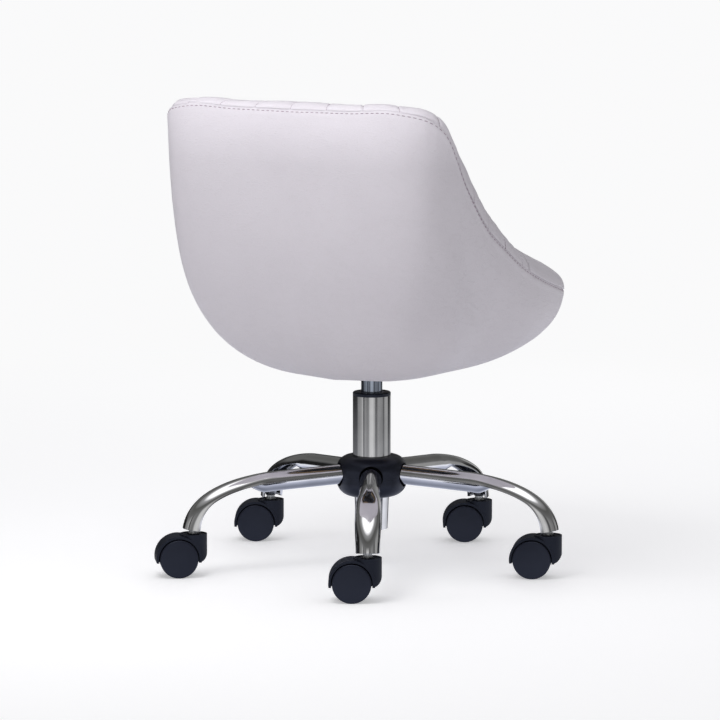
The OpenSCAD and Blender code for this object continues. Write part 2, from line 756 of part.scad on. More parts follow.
// The rolled rim, from the sitting face (v = 0) over to the seam (v = 1).
function roll_point(a, v, s) =
    let (f = fall_away(a), p = pad_thick(a), h = curve_at(abs(a), roll_rise) - s,
         z1 = curve_at(abs(a), rim_z),
         back_r = plan_r(a) - p / 2 - (p / 2 - s) * cos(180 * v), back_z = h * sin(180 * v),
         front_r = plan_r(a) - p + (p - s) * sin(90 * v), front_z = h * cos(90 * v))
    at_plan(a, mix(back_r, front_r, f), z1 + seam_gap * v + mix(back_z, front_z, f));

// Where the seat cushion meets the back, as a share of the sitting face's arc:
// level behind, rising to the rim.
crease_rise = 42;
function crease(a) =
    let (n = lookup(abs(a), sit_square), edge = curve_at(abs(a), rim_z) - sit_z,
         y = min(0.93, mix(crease_rise / edge, 0.93, smooth01(abs(a) / crease_angle) ^ 3)))
    arc_place(n, (1 - (1 - y) ^ n) ^ (1 / n));

phis = [for (i = [0:phi_steps - 1]) -180 + 360 / phi_steps * i];
back_phis = [for (a = phis) if (abs(a) < crease_angle) a];
roll_steps = 5;
pad_steps = 8;
skin_t = 1.8;            // cover over the padding
outer_skin_t = 3;        // lined cover over the shell
shell_out_d = outer_skin_t + LAYER_GAP;
shell_in_d = 12.4;
foam_d = shell_in_d + 2 * LAYER_GAP;
foam_s = skin_t + 0.3;
seam_gap = 0.4;          // padded rim above the outer cover's edge
floor_gap = 2.2;         // seat foam above the board, clear of the tee nuts

// Stations every shell layer shares, so that their faces lie parallel. The last one is on the seam.
shell_end = 0.985;
function station(a, i) = i > skin_steps ? 1 : mix(shell_start(a, 0), shell_end, i / skin_steps);
function skin_path(a, d, last) = [for (i = [0:last]) shell_point(a, station(a, i), d)];

// A point on the straight run between two stations, for a station number that need not be whole.
function on_skin(a, t, d) =
    let (i = min(max(floor(t), 0), skin_steps - 1))
    mix(shell_point(a, station(a, i), d), shell_point(a, station(a, i + 1), d), t - i);
function skin_place(a, u) = skin_steps * (u - shell_start(a, 0)) / (shell_end - shell_start(a, 0));
// Station number at which a layer reaches height z.
function skin_at_z(a, d, z) =
    let (i = max([for (k = [0:skin_steps - 1]) if (shell_point(a, station(a, k), d)[2] <= z) k]),
         low = shell_point(a, station(a, i), d)[2], high = shell_point(a, station(a, i + 1), d)[2])
    i + (z - low) / (high - low);

function back_to_front(p) = [for (i = [len(p) - 1:-1:0]) p[i]];

module seat_board() {
    outline = [for (a = phis)
        let (p = on_skin(a, skin_at_z(a, shell_in_d, board_low_z), shell_in_d), r = norm([p[0], p[1]]))
        [p[0], p[1]] * (r - 2 * LAYER_GAP) / r];
    color("BurlyWood") difference() {
        translate([0, 0, board_low_z]) linear_extrude(board_high_z - board_low_z) polygon(outline);
        at_bolts() translate([0, 0, board_low_z - 1]) cylinder(r = tee_barrel_r + SEAT_GAP, h = 20);
    }
}

module tub_shell() {
    color("DarkGray") loop_ring([for (a = phis)
        concat(skin_path(a, shell_out_d, skin_steps), back_to_front(skin_path(a, shell_in_d, skin_steps)))],
        skin_steps + 1);
}

module outer_cover() {
    color(vinyl) loop_ring([for (a = phis)
        concat(skin_path(a, 0, skin_steps + 1), back_to_front(skin_path(a, outer_skin_t, skin_steps + 1)))],
        skin_steps + 2);
}

// Path over a seat layer, from near the pole out to the crease or over the front rim to the seam.
function seat_over(a, s) =
    let (front = abs(a) >= crease_angle, end = front ? 1 : crease(a) - crease_half)
    concat([for (i = [1:pad_steps]) sit_point(a, end * i / pad_steps, s)],
           [for (i = [1:roll_steps])
               front ? roll_point(a, i / roll_steps, s)
                     : sit_point(a, end, s + 0.02 * i)]);

// Underside of a padding layer: in from the seam, down the shell, to where it comes level with height z.
function foam_under(a, u_high, z) =
    let (high = skin_place(a, u_high), low = skin_at_z(a, foam_d, z))
    [for (i = [pad_steps:-1:0]) on_skin(a, mix(low, high, i / pad_steps), foam_d)];

// Corner of the padding over the shell's top edge.
function foam_corner(a) = at_plan(a, plan_r(a) - foam_d, curve_at(abs(a), rim_z) + seam_gap);

module seat_cover() {
    color(vinyl) pole_ring([for (a = phis) concat(seat_over(a, 0), back_to_front(seat_over(a, skin_t)))],
                           pad_steps + roll_steps, [0, 0, sit_z], [0, 0, sit_z - skin_t]);
}

module seat_foam() {
    under = board_high_z + floor_gap;
    paths = [for (a = phis)
        let (front = abs(a) >= crease_angle, u = front ? shell_end : crease(a) - crease_half,
             corner = front ? foam_corner(a) : sit_point(a, u, foam_s + 0.2))
        concat(seat_over(a, foam_s), [corner], foam_under(a, u, under))];
    color("LightYellow") pole_ring(paths, pad_steps + roll_steps, [0, 0, sit_z - foam_s], [0, 0, under]);
}

function back_over(a, s) =
    let (start = crease(a) + crease_half)
    concat([for (i = [0:pad_steps]) sit_point(a, mix(start, 1, i / pad_steps), s)],
           [for (i = [1:roll_steps]) roll_point(a, i / roll_steps, s)]);

module back_cover() {
    color(vinyl) loop_row([for (a = back_phis)
        concat(back_over(a, skin_t), back_to_front(back_over(a, 0)))], pad_steps + roll_steps + 1);
}

module back_foam() {
    loops = [for (a = back_phis)
        let (low = skin_place(a, crease(a) + crease_half))
        concat([for (i = [0:pad_steps]) on_skin(a, mix(low, skin_steps, i / pad_steps), foam_d)],
               [foam_corner(a)], back_to_front(back_over(a, foam_s)))];
    color("LightYellow") loop_row(loops, pad_steps + 1);
}

// ---------------------------------------------------------------- assembly

hub_ring();
hub_cover(cover_split_z + 0.1, cover_high_z);  // hub_cover_upper
hub_cover(cover_low_z, cover_split_z);  // hub_cover_lower
caster_sockets();
caster_stems();
stem_grip_rings();
column_tube();
guide_bush();
thrust_lower_race();
thrust_balls();
thrust_upper_race();
piston_rod();
rod_retaining_clip();
bump_stop();
piston();
pressure_tube();
rod_guide();
valve_block();
valve_pin();
taper_socket();
seat_plate();
lever_pivot_pin();
lever_rod();
lever_grip();
seat_bolts();
bolt_washers();
tee_nuts();
seat_board();
tub_shell();
outer_cover();
seat_foam();
seat_cover();
back_foam();
back_cover();
for (k = [1:5]) {
    star_leg(k);
    caster_hood(k);
    caster_axle(k);
    caster_wheel(k, -1);
    caster_wheel(k, 1);
}
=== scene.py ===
"""Looks of a rolling stylist stool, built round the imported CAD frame. Metres, +Z up, seat facing -Y."""

import json
import math

import bmesh
import bpy
import numpy as np
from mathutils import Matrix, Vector, noise

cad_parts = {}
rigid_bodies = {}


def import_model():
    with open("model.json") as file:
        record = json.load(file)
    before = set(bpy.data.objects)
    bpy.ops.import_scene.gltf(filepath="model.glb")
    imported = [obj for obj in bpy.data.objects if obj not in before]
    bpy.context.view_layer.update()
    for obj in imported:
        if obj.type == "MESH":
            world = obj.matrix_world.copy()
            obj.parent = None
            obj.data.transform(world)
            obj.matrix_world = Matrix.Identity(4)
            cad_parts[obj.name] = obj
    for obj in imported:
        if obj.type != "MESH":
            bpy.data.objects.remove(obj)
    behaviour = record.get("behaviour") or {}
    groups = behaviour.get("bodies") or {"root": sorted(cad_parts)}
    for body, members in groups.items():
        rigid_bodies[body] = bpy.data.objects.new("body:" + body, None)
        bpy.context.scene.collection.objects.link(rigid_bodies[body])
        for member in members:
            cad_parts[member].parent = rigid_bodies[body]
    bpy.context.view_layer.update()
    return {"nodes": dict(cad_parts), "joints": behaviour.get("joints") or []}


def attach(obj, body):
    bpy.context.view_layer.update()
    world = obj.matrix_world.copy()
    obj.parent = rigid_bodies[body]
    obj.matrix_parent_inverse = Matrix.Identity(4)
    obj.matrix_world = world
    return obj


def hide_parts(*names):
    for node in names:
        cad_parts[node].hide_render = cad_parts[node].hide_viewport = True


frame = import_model()
MM = 0.001
joints = {j["name"]: j for j in frame["joints"]}


# ------------------------------------------------------------------ small maths

def smooth(u):
    c = np.clip(u, 0, 1)
    return c * c * (3 - 2 * c)


def mix(a, b, w):
    return a + (b - a) * w


def hump(x, middle, width):
    """Bell curve that is 1 at the middle."""
    return np.exp(-(((x - middle) / width) ** 2))


def knots(x, table):
    """Cubic through (key, value) knots, the same curve as the CAD source uses."""
    k, v = np.array(table, float).T
    n = len(k)
    lo, hi = np.maximum(np.arange(n) - 1, 0), np.minimum(np.arange(n) + 1, n - 1)
    slope = (v[hi] - v[lo]) / (k[hi] - k[lo])
    i = np.clip(np.searchsorted(k, x, side="right") - 1, 0, n - 2)
    h = k[i + 1] - k[i]
    u = np.clip((x - k[i]) / h, 0, 1)
    return ((2 * u**3 - 3 * u**2 + 1) * v[i] + (u**3 - 2 * u**2 + u) * slope[i] * h
            + (3 * u**2 - 2 * u**3) * v[i + 1] + (u**3 - u**2) * slope[i + 1] * h)


def line(x, table):
    k, v = np.array(table, float).T
    return np.interp(x, k, v)


def wrinkle(p, scale, seed=0.0):
    """Smooth noise at points p (n, 3) in mm, about -1 to 1."""
    q = p.reshape(-1, 3) * scale + seed
    return np.array([noise.noise(Vector(v)) for v in q]).reshape(p.shape[:-1])


# ------------------------------------------------------------------ mesh helpers

def mesh_object(name, co, faces, body, materials):
    """New smooth-shaded piece from points in mm, riding on a body."""
    me = bpy.data.meshes.new(name)
    me.from_pydata((np.asarray(co, float) * MM).tolist(), [], [list(f) for f in faces])
    me.update()
    ob = bpy.data.objects.new(name, me)
    bpy.context.scene.collection.objects.link(ob)
    for m in materials:
        me.materials.append(m)
    me.polygons.foreach_set("use_smooth", [True] * len(me.polygons))
    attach(ob, body)
    return ob


def grid_faces(rows, cols, close_rows=False, close_cols=False, start=0):
    """Four-sided faces of a grid of points, closed round in either direction if asked."""
    out = []
    for i in range(rows if close_rows else rows - 1):
        for j in range(cols if close_cols else cols - 1):
            a, b = i * cols + j, i * cols + (j + 1) % cols
            c, d = ((i + 1) % rows) * cols + (j + 1) % cols, ((i + 1) % rows) * cols + j
            out.append((start + a, start + b, start + c, start + d))
    return out


def fix_normals(ob, weld=False):
    """Turn all faces outwards, after joining points that lie on each other if asked."""
    bm = bmesh.new()
    bm.from_mesh(ob.data)
    if weld:
        bmesh.ops.remove_doubles(bm, verts=bm.verts, dist=1e-6)
    bmesh.ops.recalc_face_normals(bm, faces=bm.faces)
    bm.to_mesh(ob.data)
    bm.free()


def lathe(name, profile, body, materials, steps, at, turn):
    """Closed solid of revolution from a closed (radius, length) outline in mm, on an axis turned from Y."""
    pr = np.array(profile, float)
    t = np.radians(np.arange(steps) * 360 / steps)
    r, length = pr[:, 0][None, :], pr[:, 1][None, :]
    x, z = r * np.cos(t)[:, None], r * np.sin(t)[:, None]
    co = np.stack([x, np.repeat(length, steps, 0), z], -1)
    c, s = math.cos(turn), math.sin(turn)
    co = np.stack([co[..., 0] * c - co[..., 1] * s, co[..., 0] * s + co[..., 1] * c, co[..., 2]], -1)
    co = co.reshape(-1, 3) + np.array(at)
    ob = mesh_object(name, co, grid_faces(steps, len(pr), True, True), body, materials)
    fix_normals(ob, weld=True)
    return ob


def round_outline(points, radii, steps=5):
    """Closed 2-D outline whose corners are rounded to the given radii."""
    pts = [np.array(p, float) for p in points]
    n = len(pts)
    out = []
    for i in range(n):
        p, a, b, r = pts[i], pts[i - 1], pts[(i + 1) % n], radii[i]
        if r <= 0:
            out.append(p)
            continue
        u, v = (a - p) / np.linalg.norm(a - p), (b - p) / np.linalg.norm(b - p)
        half = math.acos(max(-1, min(1, float(u @ v)))) / 2
        cut = min(r / math.tan(half), 0.49 * np.linalg.norm(a - p), 0.49 * np.linalg.norm(b - p))
        r = cut * math.tan(half)
        c = p + (u + v) / np.linalg.norm(u + v) * r / math.sin(half)
        s, e = p + u * cut - c, p + v * cut - c
        a0, a1 = math.atan2(s[1], s[0]), math.atan2(e[1], e[0])
        d = (a1 - a0 + math.pi) % (2 * math.pi) - math.pi
        out += [c + r * np.array([math.cos(a0 + d * k / steps), math.sin(a0 + d * k / steps)])
                for k in range(steps + 1)]
    return np.array(out)


def dress_cad(name, material, bevel):
    """A CAD node keeps its mesh and gets its material, and its edges are softened by bevel mm."""
    ob = frame["nodes"][name]
    ob.data.materials.clear()
    ob.data.materials.append(material)
    if bevel > 0:
        mod = ob.modifiers.new("edge", "BEVEL")
        mod.width = bevel * MM
        mod.segments = 2
        mod.limit_method = "ANGLE"
        mod.angle_limit = math.radians(CAD_EDGE_ANGLE)
        mod.use_clamp_overlap = True


CAD_EDGE_ANGLE = 30.0    # degrees between faces from which a CAD edge is softened
EDGE_ANGLE = 50.0        # degrees between faces from which the shading of a piece made here breaks

# ------------------------------------------------------------------ materials

def new_material(name):
    m = bpy.data.materials.new(name)
    m.use_nodes = True
    nt = m.node_tree
    return m, nt, nt.nodes["Principled BSDF"]


def node(nt, kind, **inputs):
    n = nt.nodes.new(kind)
    for k, v in inputs.items():
        if k in n.inputs:
            n.inputs[k].default_value = v
        else:
            setattr(n, k, v)
    return n


def coords(nt):
    return nt.nodes.new("ShaderNodeTexCoord").outputs["Object"]


def noise_tex(nt, vec, scale, detail=3.0, rough=0.5):
    n = node(nt, "ShaderNodeTexNoise", Scale=scale, Detail=detail, Roughness=rough)
    nt.links.new(vec, n.inputs["Vector"])
    return n.outputs["Fac"]


def ramp(nt, fac, stops):
    r = nt.nodes.new("ShaderNodeValToRGB")
    el = r.color_ramp.elements
    el[0].position, el[0].color = stops[0][0], (*stops[0][1], 1)
    el[1].position, el[1].color = stops[-1][0], (*stops[-1][1], 1)
    for pos, col in stops[1:-1]:
        e = el.new(pos)
        e.color = (*col, 1)
    nt.links.new(fac, r.inputs["Fac"])
    return r.outputs["Color"]


def map_range(nt, fac, lo, hi, to_lo, to_hi):
    n = node(nt, "ShaderNodeMapRange")
    n.inputs["From Min"].default_value, n.inputs["From Max"].default_value = lo, hi
    n.inputs["To Min"].default_value, n.inputs["To Max"].default_value = to_lo, to_hi
    nt.links.new(fac, n.inputs["Value"])
    return n.outputs["Result"]


def bump(nt, height, strength, distance, normal=None):
    b = node(nt, "ShaderNodeBump", Strength=strength, Distance=distance)
    nt.links.new(height, b.inputs["Height"])
    if normal is not None:
        nt.links.new(normal, b.inputs["Normal"])
    return b.outputs["Normal"]


RIM_PAINTED_LIGHT = 1.22                       # painted highlight: how much paler the leather is painted at the top of the rim, in place of the brighter light there
PAINTED_LIGHT_LOW, PAINTED_LIGHT_HIGH = 0.545, 0.615    # heights in m between which the painted highlight grows


def leather(name, base, deep):
    m, nt, bsdf = new_material(name)
    vec = coords(nt)
    warp = node(nt, "ShaderNodeTexNoise", Scale=140.0, Detail=2.0)
    nt.links.new(vec, warp.inputs["Vector"])
    add = node(nt, "ShaderNodeMixRGB", blend_type="ADD")
    add.inputs["Fac"].default_value = 0.0018
    nt.links.new(vec, add.inputs["Color1"])
    nt.links.new(warp.outputs["Color"], add.inputs["Color2"])
    cell = node(nt, "ShaderNodeTexVoronoi", Scale=620.0, feature="DISTANCE_TO_EDGE")
    nt.links.new(add.outputs["Color"], cell.inputs["Vector"])
    grain = map_range(nt, cell.outputs["Distance"], 0.0, 0.22, 0.0, 1.0)
    fine = noise_tex(nt, vec, 1500.0, 2.0)
    soft = noise_tex(nt, vec, 26.0, 4.0, 0.55)
    # long faint creases: ridges of a stretched noise
    stretch = node(nt, "ShaderNodeMapping")
    stretch.inputs["Scale"].default_value = (1.0, 1.0, 2.3)
    stretch.inputs["Rotation"].default_value = (0.5, 0.35, 0.9)
    nt.links.new(vec, stretch.inputs["Vector"])
    ridge = noise_tex(nt, stretch.outputs["Vector"], 34.0, 3.0, 0.6)
    ridge_line = ramp(nt, ridge, [(0.475, (0, 0, 0)), (0.5, (1, 1, 1)), (0.525, (0, 0, 0))])
    tone = noise_tex(nt, vec, 7.0, 3.0)
    col = ramp(nt, tone, [(0.3, deep), (0.7, base)])
    pore = node(nt, "ShaderNodeMixRGB", blend_type="MULTIPLY")
    shade = map_range(nt, grain, 0.0, 1.0, 0.955, 1.0)
    pore.inputs["Fac"].default_value = 1.0
    nt.links.new(col, pore.inputs["Color1"])
    nt.links.new(shade, pore.inputs["Color2"])
    # painted highlight: the leather's colour is made paler towards the top of the rim, standing in for the
    # brighter light there
    height = node(nt, "ShaderNodeSeparateXYZ")
    nt.links.new(vec, height.inputs[0])
    pale = node(nt, "ShaderNodeMixRGB", blend_type="MULTIPLY")
    pale.inputs["Fac"].default_value = 1.0
    nt.links.new(pore.outputs["Color"], pale.inputs["Color1"])
    painted_light_gain = map_range(nt, height.outputs["Z"], PAINTED_LIGHT_LOW, PAINTED_LIGHT_HIGH, 1.0, RIM_PAINTED_LIGHT)
    nt.links.new(painted_light_gain, pale.inputs["Color2"])
    nt.links.new(pale.outputs["Color"], bsdf.inputs["Base Color"])
    nt.links.new(map_range(nt, soft, 0.3, 0.7, 0.44, 0.56), bsdf.inputs["Roughness"])
    n1 = bump(nt, ridge_line, 0.35, 0.0006)
    n2 = bump(nt, soft, 0.5, 0.0016, n1)
    n3 = bump(nt, grain, 0.32, 0.00016, n2)
    n4 = bump(nt, fine, 0.10, 0.00006, n3)
    nt.links.new(n4, bsdf.inputs["Normal"])
    bsdf.inputs["Specular IOR Level"].default_value = 0.45
    bsdf.inputs["Sheen Weight"].default_value = 0.05
    return m


def metal(name, color, rough, rough_var=0.03, streak=(1.0, 1.0, 1.0), streak_scale=90.0, bump_d=0.00003,
          dirt=0.12):
    m, nt, bsdf = new_material(name)
    vec = coords(nt)
    mp = node(nt, "ShaderNodeMapping")
    mp.inputs["Scale"].default_value = streak
    nt.links.new(vec, mp.inputs["Vector"])
    st = noise_tex(nt, mp.outputs["Vector"], streak_scale, 4.0, 0.6)
    blot = noise_tex(nt, vec, 22.0, 3.0)
    dark = tuple(c * (1 - dirt) for c in color)
    nt.links.new(ramp(nt, blot, [(0.35, dark), (0.6, color)]), bsdf.inputs["Base Color"])
    nt.links.new(map_range(nt, st, 0.3, 0.7, rough - rough_var, rough + rough_var), bsdf.inputs["Roughness"])
    nt.links.new(bump(nt, st, 0.25, bump_d), bsdf.inputs["Normal"])
    bsdf.inputs["Metallic"].default_value = 1.0
    return m


def plastic(name, color, rough, grain=900.0, grain_d=0.00006, spec=0.5, tint=(1.0, 1.0, 1.0)):
    m, nt, bsdf = new_material(name)
    vec = coords(nt)
    g = noise_tex(nt, vec, grain, 2.0)
    blot = noise_tex(nt, vec, 18.0, 3.0)
    light = tuple(min(1, c * 1.25 + 0.002) for c in color)
    nt.links.new(ramp(nt, blot, [(0.35, color), (0.7, light)]), bsdf.inputs["Base Color"])
    nt.links.new(map_range(nt, g, 0.3, 0.7, rough - 0.05, rough + 0.06), bsdf.inputs["Roughness"])
    nt.links.new(bump(nt, g, 0.3, grain_d), bsdf.inputs["Normal"])
    bsdf.inputs["Specular IOR Level"].default_value = spec
    bsdf.inputs["Specular Tint"].default_value = (*tint, 1)
    return m


def ply(name):
    m, nt, bsdf = new_material(name)
    vec = coords(nt)
    mp = node(nt, "ShaderNodeMapping")
    mp.inputs["Scale"].default_value = (14.0, 1.2, 60.0)
    nt.links.new(vec, mp.inputs["Vector"])
    g = noise_tex(nt, mp.outputs["Vector"], 9.0, 5.0, 0.65)
    wood = ramp(nt, g, [(0.3, (0.30, 0.18, 0.09)), (0.7, (0.58, 0.42, 0.25))])
    nt.links.new(wood, bsdf.inputs["Base Color"])
    nt.links.new(bump(nt, g, 0.3, 0.0002), bsdf.inputs["Normal"])
    bsdf.inputs["Roughness"].default_value = 0.7
    return m


OUTER = leather("outer_leather", (0.575, 0.545, 0.585), (0.545, 0.515, 0.555))
INNER = leather("inner_leather", (0.575, 0.545, 0.585), (0.55, 0.52, 0.56))
CHROME = metal("chrome_plate", (0.86, 0.86, 0.88), 0.075, 0.03, (1, 1, 0.15), 160.0, 0.00002)
STEEL = metal("zinc_steel", (0.56, 0.57, 0.58), 0.28, 0.06, (1, 1, 1), 420.0, 0.00005, 0.25)
TUBE = metal("lift_steel", (0.50, 0.56, 0.68), 0.09, 0.03, (1, 1, 0.05), 300.0, 0.00002)
PAINT = plastic("painted_steel", (0.025, 0.025, 0.028), 0.42, 500.0)
NAVY = (0.70, 0.78, 1.0)
HUB = plastic("hub_plastic", (0.0045, 0.0048, 0.0095), 0.36, 1200.0, 0.00003, 0.5, NAVY)
CASTER = plastic("caster_plastic", (0.0058, 0.0068, 0.0125), 0.52, 1400.0, 0.00006, 0.4, NAVY)
WHEEL = plastic("wheel_plastic", (0.0068, 0.0078, 0.015), 0.40, 1400.0, 0.00006, 0.45, NAVY)
RUBBER = plastic("rubber_part", (0.02, 0.02, 0.02), 0.7)
GRIP = plastic("grip_plastic", (0.015, 0.015, 0.02), 0.5, 700.0)
SHELL = plastic("shell_plastic", (0.05, 0.05, 0.052), 0.6, 400.0)
# Thread colour of the stitches, also used for the painted shade lines in the rim's tuck folds.
THREAD_AND_FOLD_SHADE = plastic("thread", (0.30, 0.235, 0.285), 0.75, 3000.0)
PLY = ply("plywood")

# ------------------------------------------------------------------ tub form, as in the CAD source (mm)

HALF_W, BACK, FRONT, LOW = 222.0, 194.0, 244.0, 254.5
SEAM, SIT, RIM_T = 615.0, 368.0, 33.0
RIM_Z = [[0, SEAM], [24, SEAM + 0.7], [41, SEAM + 1], [52, SEAM - 21], [60, SEAM - 91], [70, SEAM - 145],
         [82, SEAM - 179], [96, SEAM - 210], [115, SEAM - 237], [140, SEAM - 255.5], [180, SEAM - 258.5]]
BELLY = [[0, 4.05], [60, 2.97], [120, 2.31], [180, 1.6]]
SIT_SQ = [[0, 5], [60, 4.2], [110, 3], [180, 2.6]]
ROLL = [[0, 9], [40, 7.5], [52, 15], [60, 30], [72, 31], [84, 30], [96, 32], [115, 32.5], [140, 29.5],
        [180, 29.5]]
SQ_BACK, SQ_FRONT = 6.1, 2.95
RECESS_R = 92.0      # opening in the tub's underside
CREASE_A = 97.0      # bearing where the back ends and the cushion comes over the rim, degrees
CREASE_RISE = 42.0   # height of the crease over the seat's middle, at the back
CREASE_GAP = 0.006   # gap each side of the crease, as a share of the arc


def fall(a):
    return smooth((np.abs(a) - 62) / 40)


def pad(a):
    return RIM_T + 14 * fall(a)


def plan(a):
    r = np.radians(a)
    n = mix(SQ_BACK, SQ_FRONT, smooth((np.abs(a) - 60) / 60))
    reach = np.where(np.cos(r) >= 0, BACK, FRONT)
    return (np.abs(np.sin(r) / HALF_W) ** n + np.abs(np.cos(r) / reach) ** n) ** (-1 / n)


def place(a, r, z):
    t = np.radians(a)
    return np.stack(np.broadcast_arrays(-np.sin(t) * r, np.cos(t) * r, z), -1)


def superarc(n, u):
    s, c = np.sin(np.pi / 2 * u), np.cos(np.pi / 2 * u)
    q = (s**n + c**n) ** (1 / n)
    return s / q, 1 - c / q


def arc_place(n, share):
    return np.arctan2(share, (1 - share**n) ** (1 / n)) / (np.pi / 2)


def shell_point(a, u, d=0.0):
    x, y = superarc(line(np.abs(a), BELLY), u)
    return place(a, (plan(a) - d) * x, LOW + d + (knots(np.abs(a), RIM_Z) - LOW - d) * y)


def sit_point(a, u, s=0.0):
    x, y = superarc(line(np.abs(a), SIT_SQ), u)
    f, z1 = fall(a), knots(np.abs(a), RIM_Z)
    edge = z1 + (knots(np.abs(a), ROLL) - s) * f
    return place(a, (plan(a) - pad(a) + s * (1 - f)) * x, SIT - s + (edge - SIT + s) * y)


def roll_point(a, v, s=0.0):
    f, p, h, z1 = fall(a), pad(a), knots(np.abs(a), ROLL) - s, knots(np.abs(a), RIM_Z)
    back_r, back_z = plan(a) - p / 2 - (p / 2 - s) * np.cos(np.pi * v), h * np.sin(np.pi * v)
    front_r, front_z = plan(a) - p + (p - s) * np.sin(np.pi / 2 * v), h * np.cos(np.pi / 2 * v)
    return place(a, mix(back_r, front_r, f), z1 + mix(back_z, front_z, f))


def crease(a):
    n = line(np.abs(a), SIT_SQ)
    edge = knots(np.abs(a), RIM_Z) - SIT
    y = np.minimum(0.93, mix(CREASE_RISE / edge, 0.93, smooth(np.abs(a) / CREASE_A) ** 3))
    return arc_place(n, (1 - (1 - y) ** n) ** (1 / n))


def normals_of(p, wrap_cols=False):
    """Unit normals of a grid of points (rows, cols, 3)."""
    du = np.gradient(p, axis=0)
    if wrap_cols:
        dv = (np.roll(p, -1, 1) - np.roll(p, 1, 1)) / 2
    else:
        dv = np.gradient(p, axis=1)
    n = np.cross(du, dv)
    return n / np.maximum(np.linalg.norm(n, axis=-1, keepdims=True), 1e-9)


# ------------------------------------------------------------------ outer cover

COVER_T = 3.0        # leather and its thin foam, mm
SHELL_IN = 12.4      # inner side of the moulded shell, mm under the cover's face
STITCH_IN = 3.0      # stitches under the seam's edge, mm
STITCH_PITCH = 7.4
STITCH_LONG = 4.6
STITCH_R = 0.5
CORNER_A, FLANK_A = 47.0, 72.0    # bearings of the back's corner and of the flank's middle, degrees
FLANK_HOLLOW, BACK_SWELL = 10.0, 7.0


def outer_cover():
    """The plain cover up to the seam, and the moulded shell behind it."""
    cols, rows = ((480, 150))
    a = np.arange(cols) * 360 / cols - 180
    u0 = arc_place(line(np.abs(a), BELLY), RECESS_R / plan(a))
    t = np.linspace(0, 1, rows)[:, None]
    u = mix(u0[None, :], 1.0, t)
    p = shell_point(a[None, :], u)
    n = normals_of(p, True)
    n *= np.sign((n[..., :1] * p[..., :1] + n[..., 1:2] * p[..., 1:2]).mean())
    arc = np.linalg.norm(np.diff(p, axis=0), axis=-1)
    to_seam = np.concatenate([arc[::-1].cumsum(0)[::-1], np.zeros((1, cols))])
    aa = np.abs(a)[None, :]
    # corners stand a little proud, the flank has a shallow hollow under the rim
    d = 3.6 * hump(aa, CORNER_A, 9) * smooth((p[..., 2] - 430) / 110)
    d -= FLANK_HOLLOW * hump(aa, FLANK_A, 17) * hump(to_seam, 100, 60)
    # the back is crowned: it swells below the rim and flattens out before the underside
    swell = 1 - np.clip(1 - to_seam / 75, 0, 1) ** 2
    d += BACK_SWELL * np.clip(1 - (aa / 50) ** 2, 0, 1) * swell * smooth((270 - to_seam) / 120)
    # puckers run down from the seam at the corners
    pucker = hump(aa, CORNER_A, 7) * np.exp(-to_seam / 16) * smooth(to_seam / 4)
    d += 0.7 * pucker * np.sin(np.radians(aa) * 95 + 1.7 * np.sin(aa * 0.9))
    # cloth drawn over the shell: broad soft waves and a few long faint creases
    d += 0.9 * wrinkle(p, 0.012, 3.1) * smooth(to_seam / 30)
    ridge = wrinkle(p * np.array([1.0, 1.0, 0.45]), 0.03, 11.7)
    d += 0.4 * hump(ridge, 0, 0.05) * smooth(to_seam / 25) * smooth(0.5 + wrinkle(p, 0.008, 6.6))
    # the edge is turned in at the seam, with the topstitching pressed into it
    d += 0.5 * hump(to_seam, 7, 4) - 0.7 * hump(to_seam, 0, 1.6)
    d -= 0.45 * hump(to_seam, STITCH_IN, 0.9)
    face = p + n * d[..., None]
    back = face - n * COVER_T
    loops = np.concatenate([face, back[::-1]], 0).transpose(1, 0, 2)
    ob = mesh_object("tub_outer_cover", loops.reshape(-1, 3), grid_faces(cols, 2 * rows, True, True), "seat",
                     [OUTER])
    fix_normals(ob)
    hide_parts("outer_cover")
    # the moulded shell behind the cover follows the same swell
    keep = slice(0, int(rows * 0.97), 3)
    outside = face[keep, ::3] - n[keep, ::3] * (COVER_T + 0.2)
    inside = shell_point(a[None, ::3], u[keep, ::3], SHELL_IN)
    loops = np.concatenate([outside, inside[::-1]], 0).transpose(1, 0, 2)
    shell = mesh_object("tub_moulded_shell", loops.reshape(-1, 3),
                        grid_faces(loops.shape[0], loops.shape[1], True, True), "seat", [SHELL])
    fix_normals(shell)
    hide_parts("tub_shell")
    return face, n, to_seam


def stitches(name, runs, body, pitch, length, radius):
    """Short thread capsules along each run: a path (n, 3) on a surface, and the surface's normals there."""
    co, faces = [], []
    rings = ((-0.5, 0.25), (-0.42, 0.8), (-0.2, 1.0), (0.2, 1.0), (0.42, 0.8), (0.5, 0.25))
    sides = 6
    for path, normal in runs:
        s = np.concatenate([[0], np.linalg.norm(np.diff(path, axis=0), axis=1).cumsum()])
        count = int(s[-1] // pitch)
        for k in range(count):
            mid = (k + 0.5) * s[-1] / count
            ends = [np.array([np.interp(mid + e * length, s, path[:, i]) for i in range(3)])
                    for e in (-0.5, 0.5)]
            nn = np.array([np.interp(mid, s, normal[:, i]) for i in range(3)])
            nn /= np.linalg.norm(nn)
            t = (ends[1] - ends[0]) / np.linalg.norm(ends[1] - ends[0])
            b = np.cross(nn, t)
            c = (ends[0] + ends[1]) / 2
            base = len(co)
            for x, w in rings:
                lift = radius * (0.55 - 5.6 * abs(x) ** 3)
                for j in range(sides):
                    q = 2 * math.pi * j / sides
                    co.append(c + t * x * length + nn * (lift + radius * w * math.sin(q))
                              + b * radius * w * math.cos(q))
            for i in range(len(rings) - 1):
                for j in range(sides):
                    o = base + i * sides
                    faces.append((o + j, o + (j + 1) % sides, o + sides + (j + 1) % sides, o + sides + j))
            faces.append(tuple(base + j for j in range(sides - 1, -1, -1)))
            faces.append(tuple(base + (len(rings) - 1) * sides + j for j in range(sides)))
    ob = mesh_object(name, co, faces, body, [THREAD_AND_FOLD_SHADE])
    fix_normals(ob)


